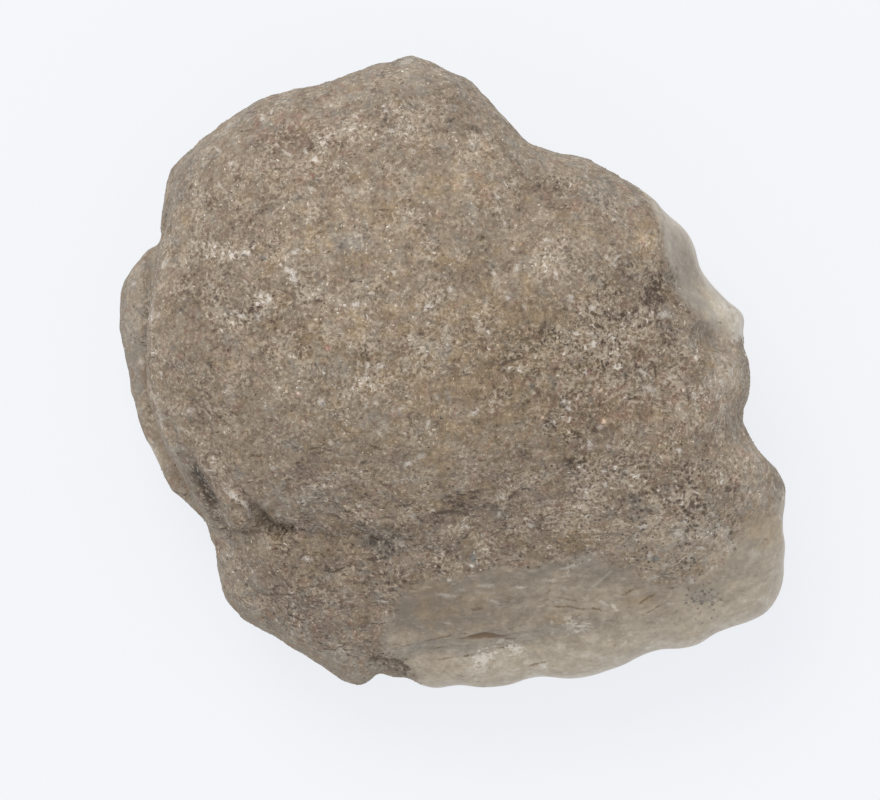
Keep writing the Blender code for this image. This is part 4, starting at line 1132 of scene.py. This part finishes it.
class Nodes:
    """Short ways to add and link the nodes of one tree."""

    def __init__(self, tree):
        self.tree = tree

    def feed(self, socket, value):
        """Links a socket's input, or sets it where the value is plain."""
        if isinstance(value, bpy.types.NodeSocket):
            self.tree.links.new(value, socket)
        elif socket.type == "RGBA":
            socket.default_value = (*value, 1)
        else:
            socket.default_value = value

    def add(self, kind, inputs, **settings):
        """A new node with its settings, and its inputs fed by name or number."""
        made = self.tree.nodes.new(kind)
        for key, value in settings.items():
            setattr(made, key, value)
        for key, value in inputs.items():
            self.feed(made.inputs[key], value)
        return made

    def attribute(self, name):
        """A number that the mesh holds at each point."""
        return self.add("ShaderNodeAttribute", {}, attribute_name=name).outputs["Fac"]

    def math(self, operation, a, b=0.0, clamp=False):
        """The result of a sum on one or two numbers, kept between 0 and 1 where it is clamped."""
        return self.add("ShaderNodeMath", {0: a, 1: b}, operation=operation, use_clamp=clamp).outputs[0]

    def plus(self, *terms):
        """The sum of (value, factor) pairs."""
        total = 0.0
        for value, factor in terms:
            made = self.add("ShaderNodeMath", {0: value, 1: factor, 2: total}, operation="MULTIPLY_ADD")
            total = made.outputs[0]
        return total

    def most(self, first, *others):
        """The greatest of some numbers."""
        for other in others:
            first = self.math("MAXIMUM", first, other)
        return first

    def band(self, value, low, high):
        """An S-curve that is 0 at low and 1 at high, which may be the lesser of the two."""
        flip = low > high
        inputs = {
            "Value": value, "From Min": min(low, high), "From Max": max(low, high), "To Min": float(flip),
            "To Max": float(not flip),
        }
        return self.add("ShaderNodeMapRange", inputs, interpolation_type="SMOOTHSTEP").outputs["Result"]

    def mix(self, factor, a, b, share=1.0, blend="MIX"):
        """A colour between two: the second's part is the factor times a share."""
        inputs = {0: self.math("MULTIPLY", factor, share), 6: a, 7: b}
        return self.add("ShaderNodeMix", inputs, data_type="RGBA", blend_type=blend).outputs[2]

    def lay(self, under, over, value, low, high, share=1.0, blend="MIX"):
        """A colour laid over another, up to a share, as a value goes from low to high."""
        return self.mix(self.band(value, low, high), under, over, share, blend)

    def blend(self, factor, a, b):
        """A number between two numbers."""
        return self.add("ShaderNodeMix", {0: factor, 2: a, 3: b}, data_type="FLOAT").outputs[0]

    def ramp(self, value, stops):
        """A colour that runs through the stops, each (value, colour)."""
        made = self.add("ShaderNodeValToRGB", {"Fac": value})
        elements = made.color_ramp.elements
        for place, colour in stops[1:-1]:
            elements.new(place).color = (*colour, 1)
        for element, (place, colour) in ((elements[0], stops[0]), (elements[-1], stops[-1])):
            element.position = place
            element.color = (*colour, 1)
        return made.outputs["Color"]

    def place(self, stretch=(1, 1, 1), turn=0):
        """The point in millimetres, with each way squeezed by its stretch after a turn about the vertical."""
        inputs = {
            "Vector": self.add("ShaderNodeTexCoord", {}).outputs["Object"],
            "Rotation": (0, 0, np.radians(turn)), "Scale": [MM * s for s in stretch],
        }
        return self.add("ShaderNodeMapping", inputs, vector_type="TEXTURE").outputs["Vector"]

    def noise(self, where, size, detail=2.0, rough=0.5, warp=0.0):
        """Cloudy values around 0 of a feature size in millimetres."""
        inputs = {
            "Vector": where, "Scale": 1 / size, "Detail": detail, "Roughness": rough, "Distortion": warp,
        }
        return self.math("SUBTRACT", self.add("ShaderNodeTexNoise", inputs).outputs["Fac"], 0.5)

    def parts(self, name):
        """The length of an attribute's first two numbers taken together, then each of its three."""
        place = self.add("ShaderNodeAttribute", {}, attribute_name=name).outputs["Vector"]
        apart = self.add("ShaderNodeSeparateXYZ", {0: place})
        flat = self.add("ShaderNodeVectorMath", {0: place, 1: (1, 1, 0)}, operation="MULTIPLY")
        length = self.add("ShaderNodeVectorMath", {0: flat.outputs[0]}, operation="LENGTH")
        return (length.outputs["Value"], *apart.outputs)

    def dots(self, where, spacing):
        """Distance to the middle of the nearest of many scattered dots, as a share of their spacing."""
        return self.add("ShaderNodeTexVoronoi", {"Vector": where, "Scale": 1 / spacing}).outputs["Distance"]

    def bump(self, height, depth):
        """The normal over a height from about -0.5 to 0.5, which stands for a depth in millimetres."""
        return self.add("ShaderNodeBump", {"Distance": depth * MM, "Height": height}).outputs["Normal"]


def new_material(name):
    """A material, the short ways to its nodes and the inputs of its shader."""
    made = bpy.data.materials.new(name)
    made.use_nodes = True
    return made, Nodes(made.node_tree), made.node_tree.nodes["Principled BSDF"].inputs


def pitted(n, where):
    """1 in round pits and 0 between them: dots that grow with the pitting. The pits are painted dark, partly
    as shade in them.
    """
    return n.band(n.plus((n.dots(where, 0.85), 1.0), (n.attribute("pitting"), -0.24)), 0.14, -0.02)


def crisp_marks(n, where):
    """How much pale flecks and lines cover a point, and how much dark ones do, with ragged edges."""
    ragged = n.noise(where, 0.4, 2.0, 0.6)
    terms = []
    for lot in range(len(FLECKS)):
        reach, _, _, strength = n.parts(f"flecks_{lot + 1}")
        terms.append((n.band(n.plus((ragged, 4.2), (reach, 1.0)), 1.7, 0.2), strength))
        _, side, away, strength = n.parts(f"hairlines_{lot + 1}")
        reach = n.most(n.math("ABSOLUTE", side), away)
        terms.append((n.band(n.plus((ragged, 5.0), (reach, 1.0)), 1.9, 0.1), strength))
    total = n.plus(*terms)
    light = n.math("MULTIPLY", total, n.plus((ragged, 1.6), (0.92, 1.0)), clamp=True)
    broken = n.band(n.noise(where, 1.6), -0.16, 0.04)
    return light, n.math("MULTIPLY", n.math("MULTIPLY", total, broken), -1.35, clamp=True)


def rind_colour(n, rind, tone, light, dark):
    """The rind's colour and its holes, in that order.

    A ramp runs over the tone and mottling. Iron and grey patches turn its hue, pale threads and white
    crust lie on it, and dark holes, round pits and flaky dashes are sunk in it: the dashes are painted
    shadows under the flakes, and the holes and pits are darkened partly as painted shade.
    """
    where = n.place()
    outer, worn = n.attribute("outer"), n.attribute("worn")
    mottle = n.plus(
        (n.noise(where, 7.0), 0.30), (n.noise(where, 2.6, 1.0), 0.40), (n.noise(where, 1.2, 1.0), 0.42),
        (n.noise(where, 0.65, 1.0, 0.5, 0.8), 0.60))
    tone = n.math("MULTIPLY", n.plus((tone, 1.0), (mottle, 1.0)), n.plus((worn, -0.45), (1.0, 1.0)))
    # The rim term makes the rind lighter here and cooler in the iron and grey patches below, towards its
    # outline: painted rim light.
    tone = n.plus((tone, 1.0), (n.attribute("shade"), 1.0), (outer, 0.08), (0.415, 1.0))
    colour = n.ramp(tone, [
        (0.0, rind.pit), (0.14, rind.umber), (0.5, rind.taupe), (0.74, rind.sandy), (0.92, rind.chalk)])

    iron = n.noise(n.place((1.2, 0.9, 1)), 2.4, 3.0, 0.65)
    iron = n.plus((iron, 1.0), (n.attribute("ochre"), 0.2), (outer, -0.06))
    colour = n.lay(colour, rind.ochre, iron, -0.02, 0.24, 0.75, "COLOR")
    grey = n.noise(n.place((0.9, 1.1, 1)), 2.0, 3.0, 0.65)
    grey = n.plus((grey, 1.0), (n.attribute("cool"), 0.2), (outer, 0.10))
    colour = n.lay(colour, rind.cool, grey, 0.0, 0.24, 0.65, "COLOR")
    colour = n.lay(colour, rind.rust, n.attribute("rust"), 0.3, 0.9, blend="COLOR")
    slaty = n.plus((n.attribute("slate"), 1.0), (n.noise(where, 0.6, 2.0), 1.2))
    colour = n.lay(colour, rind.slate, slaty, 0.25, 0.85, 0.8)
    rosy = n.plus((n.noise(n.place((1, 1, 1), 40), 1.7, 2.0, 0.6), 1.0), (n.attribute("rust"), 0.4))
    colour = n.lay(colour, rind.rust, rosy, 0.07, 0.22, 0.4, "COLOR")

    chalky = n.plus((n.attribute("chalk"), 0.5), (n.noise(where, 4.0, 2.0), 0.8))
    threads = n.math("ABSOLUTE", n.noise(where, 1.05, 1.0, 0.5, 0.6))
    gathered = n.plus((n.band(chalky, -0.06, 0.18), 0.35), (0.15, 1.0), (worn, -0.12))
    colour = n.lay(colour, rind.sandy, threads, 0.075, 0.0, gathered)
    flecks = n.plus((n.noise(where, 0.5, 1.0), 1.0), (chalky, 0.5))
    colour = n.lay(colour, rind.sandy, flecks, 0.06, 0.22, 0.5)
    crust = n.plus((n.noise(where, 0.65, 2.0, 0.6, 0.6), 2.2), (chalky, 0.9), (worn, -0.12))
    colour = n.lay(colour, rind.chalk, crust, 0.33, 0.66, 0.8)
    colour = n.mix(light, colour, rind.chalk)

    # Pits and flaky dashes are painted dark: the dashes are painted shadows under the flakes of the south
    # slope, and the pits are partly dark grit and partly painted shade in small holes, which the stone's bump
    # also sinks.
    pits = n.plus((n.noise(where, 0.5, 1.0, 0.6), -1.0), (n.attribute("pitting"), 0.06))
    dashes = n.plus(
        (n.noise(n.place((1.8, 0.7, 1.0), 5), 0.6, 1.5, 0.5, 0.7), -1.0), (n.noise(where, 3.5), 0.4),
        (n.attribute("flaky"), 0.07))
    holes = n.most(n.band(pits, 0.21, 0.33), n.band(dashes, 0.22, 0.32), pitted(n, where), dark)
    return n.mix(holes, colour, rind.pit, 0.8), holes


def chalcedony_colour(n, rind, chalcedony, light, dark):
    """The chalcedony's colour, its wisps and how deep a point is in the crevice, in that order.

    A ramp runs from clear to cloudy towards the rim, partly its own cloudy rim and partly painted light.
    Iron and grey patches turn its hue, streaks, milky flecks and hairlines lie in it, and the crevice and
    pits are sunk in it.
    """
    where = n.place()
    outer, slate = n.attribute("outer"), n.attribute("slate")
    clouds = n.noise(n.place((1.7, 1.0, 1.0), 12), 2.4, 3.0, 0.6)
    wisps = n.noise(n.place((1.8, 0.9, 1.0), 8), 0.6, 2.0, 0.65, 0.8)
    # The rim term makes the chalcedony cloudier and paler towards its outline, partly its own cloudy rim and
    # partly painted light.
    cloudy = n.plus(
        (clouds, 0.65), (n.attribute("shade"), 0.7), (wisps, 0.45), (outer, 0.46),
        (n.noise(where, 0.6, 2.0, 0.6), 0.42), (n.noise(where, 1.5, 2.0, 0.6, 0.5), 0.55), (0.20, 1.0))
    colour = n.ramp(cloudy, [
        (0.0, chalcedony.deep), (0.2, chalcedony.clear), (0.68, chalcedony.cloudy), (1.0, chalcedony.milky)])

    iron = n.plus((n.attribute("ochre"), 0.8), (clouds, 0.7), (n.noise(where, 1.6), 0.6), (outer, -0.1))
    colour = n.lay(colour, rind.ochre, iron, 0.0, 0.4, 0.6, "COLOR")
    colour = n.lay(colour, rind.cool, n.attribute("cool"), 0.4, 1.3, 0.6, "COLOR")
    slaty = n.plus((slate, 0.8), (n.noise(where, 0.45, 2.0, 0.6), 3.0))
    near = n.math("MULTIPLY", n.band(slate, 0.05, 0.4), 0.5)
    colour = n.lay(colour, rind.slate, slaty, 0.35, 0.9, near)

    gathered = n.noise(where, 3.0, 2.0)
    dashes = n.plus((n.noise(n.place((2.8, 0.9, 1.0), 4), 0.75, 2.0, 0.5), 1.0), (gathered, 0.4))
    colour = n.lay(colour, chalcedony.cloudy, dashes, 0.12, 0.27, 0.5)
    milk = n.plus((n.attribute("milk"), 0.5), (n.noise(where, 0.5, 3.0, 0.7), 1.6), (wisps, 0.8))
    colour = n.lay(colour, chalcedony.milky, milk, 0.34, 0.58, 0.8)
    colour = n.mix(light, colour, chalcedony.milky, 0.85)
    line = n.math("ABSOLUTE", n.noise(n.place((3.0, 0.9, 1.0), 14), 1.6, 1.0, 0.5, 0.6))
    broken = n.math("MULTIPLY", n.band(gathered, -0.05, -0.14), 0.5)
    colour = n.lay(colour, chalcedony.crevice, line, 0.014, 0.0, broken)
    colour = n.mix(dark, colour, chalcedony.crevice, 0.8)

    sunk = n.band(n.plus((n.attribute("crevice"), 1.0), (n.noise(where, 0.6, 2.0), 0.5)), 0.20, 0.60)
    colour = n.mix(sunk, colour, chalcedony.crevice, 0.9)
    # Pits in the chalcedony are painted in the pit colour, partly as shade in them.
    grit = n.plus((n.attribute("pitting"), 0.10), (n.noise(where, 0.5, 3.0, 0.7), -1.0))
    colour = n.mix(n.most(n.band(grit, 0.16, 0.30), pitted(n, where)), colour, rind.pit, 0.65)
    return colour, wisps, sunk


def stone_material(rind, chalcedony):
    """Rind and chalcedony in one material, mixed by how far inside the bare zone a point is. The edge is
    ragged, the rind is dull and rough, and the chalcedony is smoother and lets some light in.
    """
    made, n, inputs = new_material("rind_and_chalcedony")
    where = n.place()
    crisp = crisp_marks(n, where)
    fine = n.noise(where, 0.5, 2.0, 0.6)
    rind_look, holes = rind_colour(n, rind, n.plus((fine, 0.42), (-0.07, 1.0)), *crisp)
    stone_look, wisps, sunk = chalcedony_colour(n, rind, chalcedony, *crisp)
    ragged = n.plus(
        (n.attribute("bare"), 1.0), (n.noise(where, 0.8, 3.0, 0.7), 4.0), (n.noise(where, 3.0), 2.5))
    bare = n.band(ragged, -0.8, 0.8)
    n.feed(inputs["Base Color"], n.mix(bare, rind_look, stone_look))
    gloss = n.plus((wisps, 0.25), (chalcedony.roughness, 1.0))
    n.feed(inputs["Roughness"], n.blend(bare, RIND_ROUGHNESS, gloss))
    n.feed(inputs["Subsurface Weight"], n.plus((bare, INNER_LIGHT), (sunk, -INNER_LIGHT)))
    n.feed(inputs["Subsurface Radius"], INNER_LIGHT_REACH)
    n.feed(inputs["Subsurface Scale"], chalcedony.depth)
    height = n.blend(bare, n.plus((fine, 1.0), (holes, -0.5)), n.plus((wisps, 0.35)))
    n.feed(inputs["Normal"], n.bump(height, FINEST_RELIEF))
    return made


def grit_material(rind):
    """Sand grains in the rind's colours, with its painted rim light and painted shade, each shifted by its
    own tone.
    """
    made, n, inputs = new_material("grit")
    colour, _ = rind_colour(n, rind, n.attribute("tone"), *crisp_marks(n, n.place()))
    n.feed(inputs["Base Color"], colour)
    n.feed(inputs["Roughness"], GRIT_ROUGHNESS)
    return made


# ---------------------------------------------------------------- stage


def add_floor(scene):
    """A wide flat floor on the ground that glows a little, so that it stays pale."""
    corners = [(x * FLOOR_HALF, y * FLOOR_HALF, 0) for x, y in ((-1, -1), (1, -1), (1, 1), (-1, 1))]
    mesh = bpy.data.meshes.new("floor")
    mesh.from_pydata(corners, [], [(0, 1, 2, 3)])
    floor = bpy.data.objects.new("floor", mesh)
    scene.collection.objects.link(floor)
    paint, n, inputs = new_material("floor_paint")
    n.feed(inputs["Base Color"], FLOOR_PAINT)
    n.feed(inputs["Roughness"], FLOOR_ROUGHNESS)
    n.feed(inputs["Specular IOR Level"], 0.0)
    n.feed(inputs["Emission Color"], scene.geode_stage.floor)
    n.feed(inputs["Emission Strength"], FLOOR_GLOW)
    mesh.materials.append(paint)


def add_lights(scene):
    """An even sky and one soft round light that is turned to the stone."""
    world = bpy.data.worlds.new("studio")
    world.use_nodes = True
    sky = world.node_tree.nodes["Background"]
    sky.inputs["Color"].default_value = (*SKY_COLOUR, 1)
    sky.inputs["Strength"].default_value = SKY_STRENGTH
    scene.world = world
    lamp = bpy.data.lights.new("key", "AREA")
    lamp.shape = "DISK"
    lamp.size = KEY_SIZE
    lamp.energy = scene.geode_stage.key_power
    lamp.color = KEY_COLOUR
    key = bpy.data.objects.new("key", lamp)
    key.location = KEY_PLACE
    key.rotation_euler = (-key.location).to_track_quat("-Z", "Y").to_euler()
    scene.collection.objects.link(key)


def add_camera(scene):
    """A camera that looks straight down, with a lens as long as the view's width at the rim asks."""
    height = scene.geode_stage.camera_height
    lens = bpy.data.cameras.new("camera")
    lens.sensor_width = SENSOR_WIDTH
    lens.lens = SENSOR_WIDTH * (height - RIM_LEVEL) / scene.geode_stage.view_width
    lens.clip_start, lens.clip_end = CAMERA_CLIP
    camera = bpy.data.objects.new("camera", lens)
    camera.location = (*CAMERA_PLACE, height)
    scene.collection.objects.link(camera)
    scene.camera = camera


# ---------------------------------------------------------------- operators


class GEODE_OT_stone(Operator):
    """Build the stone with its rind and bare chalcedony"""

    bl_idname = "geode.stone"
    bl_label = "Build Stone"

    def execute(self, context):
        scene = context.scene
        points, faces, values = fine_stone()
        material = stone_material(scene.geode_rind, scene.geode_chalcedony)
        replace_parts(new_piece("nodule", points, faces, values, side_map(FINE_EDGE), material), NODE)
        return {"FINISHED"}


class GEODE_OT_grit(Operator):
    """Set sand grains all over the rind, in four lots"""

    bl_idname = "geode.grit"
    bl_label = "Scatter Grit"

    def execute(self, context):
        rind = context.scene.geode_rind
        points, faces, values = fine_stone()
        weight = grit_weight(points, values)
        material = grit_material(rind)
        for lot in range(GRIT_LOTS):
            seed = 100 * (lot + 1)
            places, normals = scattered(points, faces, weight, rind.grains, seed)
            here = zone_values(places, normals)
            tones = grain_tones(places, here, seed + 1)
            spread = np.random.default_rng(seed + 2).lognormal(0, GRAIN_SPREAD, rind.grains)
            sizes = rind.grain_size / MM * spread * (1 + PALE_GRAIN_GROWTH * np.maximum(tones, 0))
            grains, grain_faces = grain_mesh(places, normals, sizes, seed + 3)
            shown = {"tone": tones, **{key: here[key] for key in GRIT_VALUES}}
            shown = {key: np.repeat(value, 6, axis=0) for key, value in shown.items()}
            new_piece(f"grit_{lot + 1}", grains, grain_faces, shown, grain_map(rind.grains), material)
        return {"FINISHED"}


class GEODE_OT_stage(Operator):
    """Lay the floor and set the lights and the camera"""

    bl_idname = "geode.stage"
    bl_label = "Set Stage"

    def execute(self, context):
        add_floor(context.scene)
        add_lights(context.scene)
        add_camera(context.scene)
        context.scene.view_settings.view_transform = "Standard"
        return {"FINISHED"}


class GEODE_PT_panel(Panel):
    """The geode's steps and settings"""

    bl_label = "Agate Geode"
    bl_idname = "GEODE_PT_panel"
    bl_space_type = "VIEW_3D"
    bl_region_type = "UI"
    bl_category = "Geode"

    def draw(self, context):
        for group in SETTINGS:
            settings = getattr(context.scene, group)
            box = self.layout.box()
            for key in settings.bl_rna.properties.keys():
                if key not in ("rna_type", "name"):
                    box.prop(settings, key)
        for operator in OPERATORS:
            self.layout.operator(operator.bl_idname)


SETTINGS = {
    "geode_rind": RindSettings, "geode_chalcedony": ChalcedonySettings, "geode_stage": StageSettings,
}
OPERATORS = (GEODE_OT_stone, GEODE_OT_grit, GEODE_OT_stage)
CLASSES = (*SETTINGS.values(), *OPERATORS, GEODE_PT_panel)


def register():
    """Adds the classes, and each group of settings to the scene."""
    for cls in CLASSES:
        bpy.utils.register_class(cls)
    for name, group in SETTINGS.items():
        setattr(bpy.types.Scene, name, PointerProperty(type=group))


def unregister():
    """Takes the settings and the classes away again."""
    for name in SETTINGS:
        delattr(bpy.types.Scene, name)
    for cls in reversed(CLASSES):
        bpy.utils.unregister_class(cls)


def main():
    """Builds the stone, its grit and the stage."""
    register()
    bpy.ops.geode.stone()
    bpy.ops.geode.grit()
    bpy.ops.geode.stage()


if __name__ == "__main__":
    main()
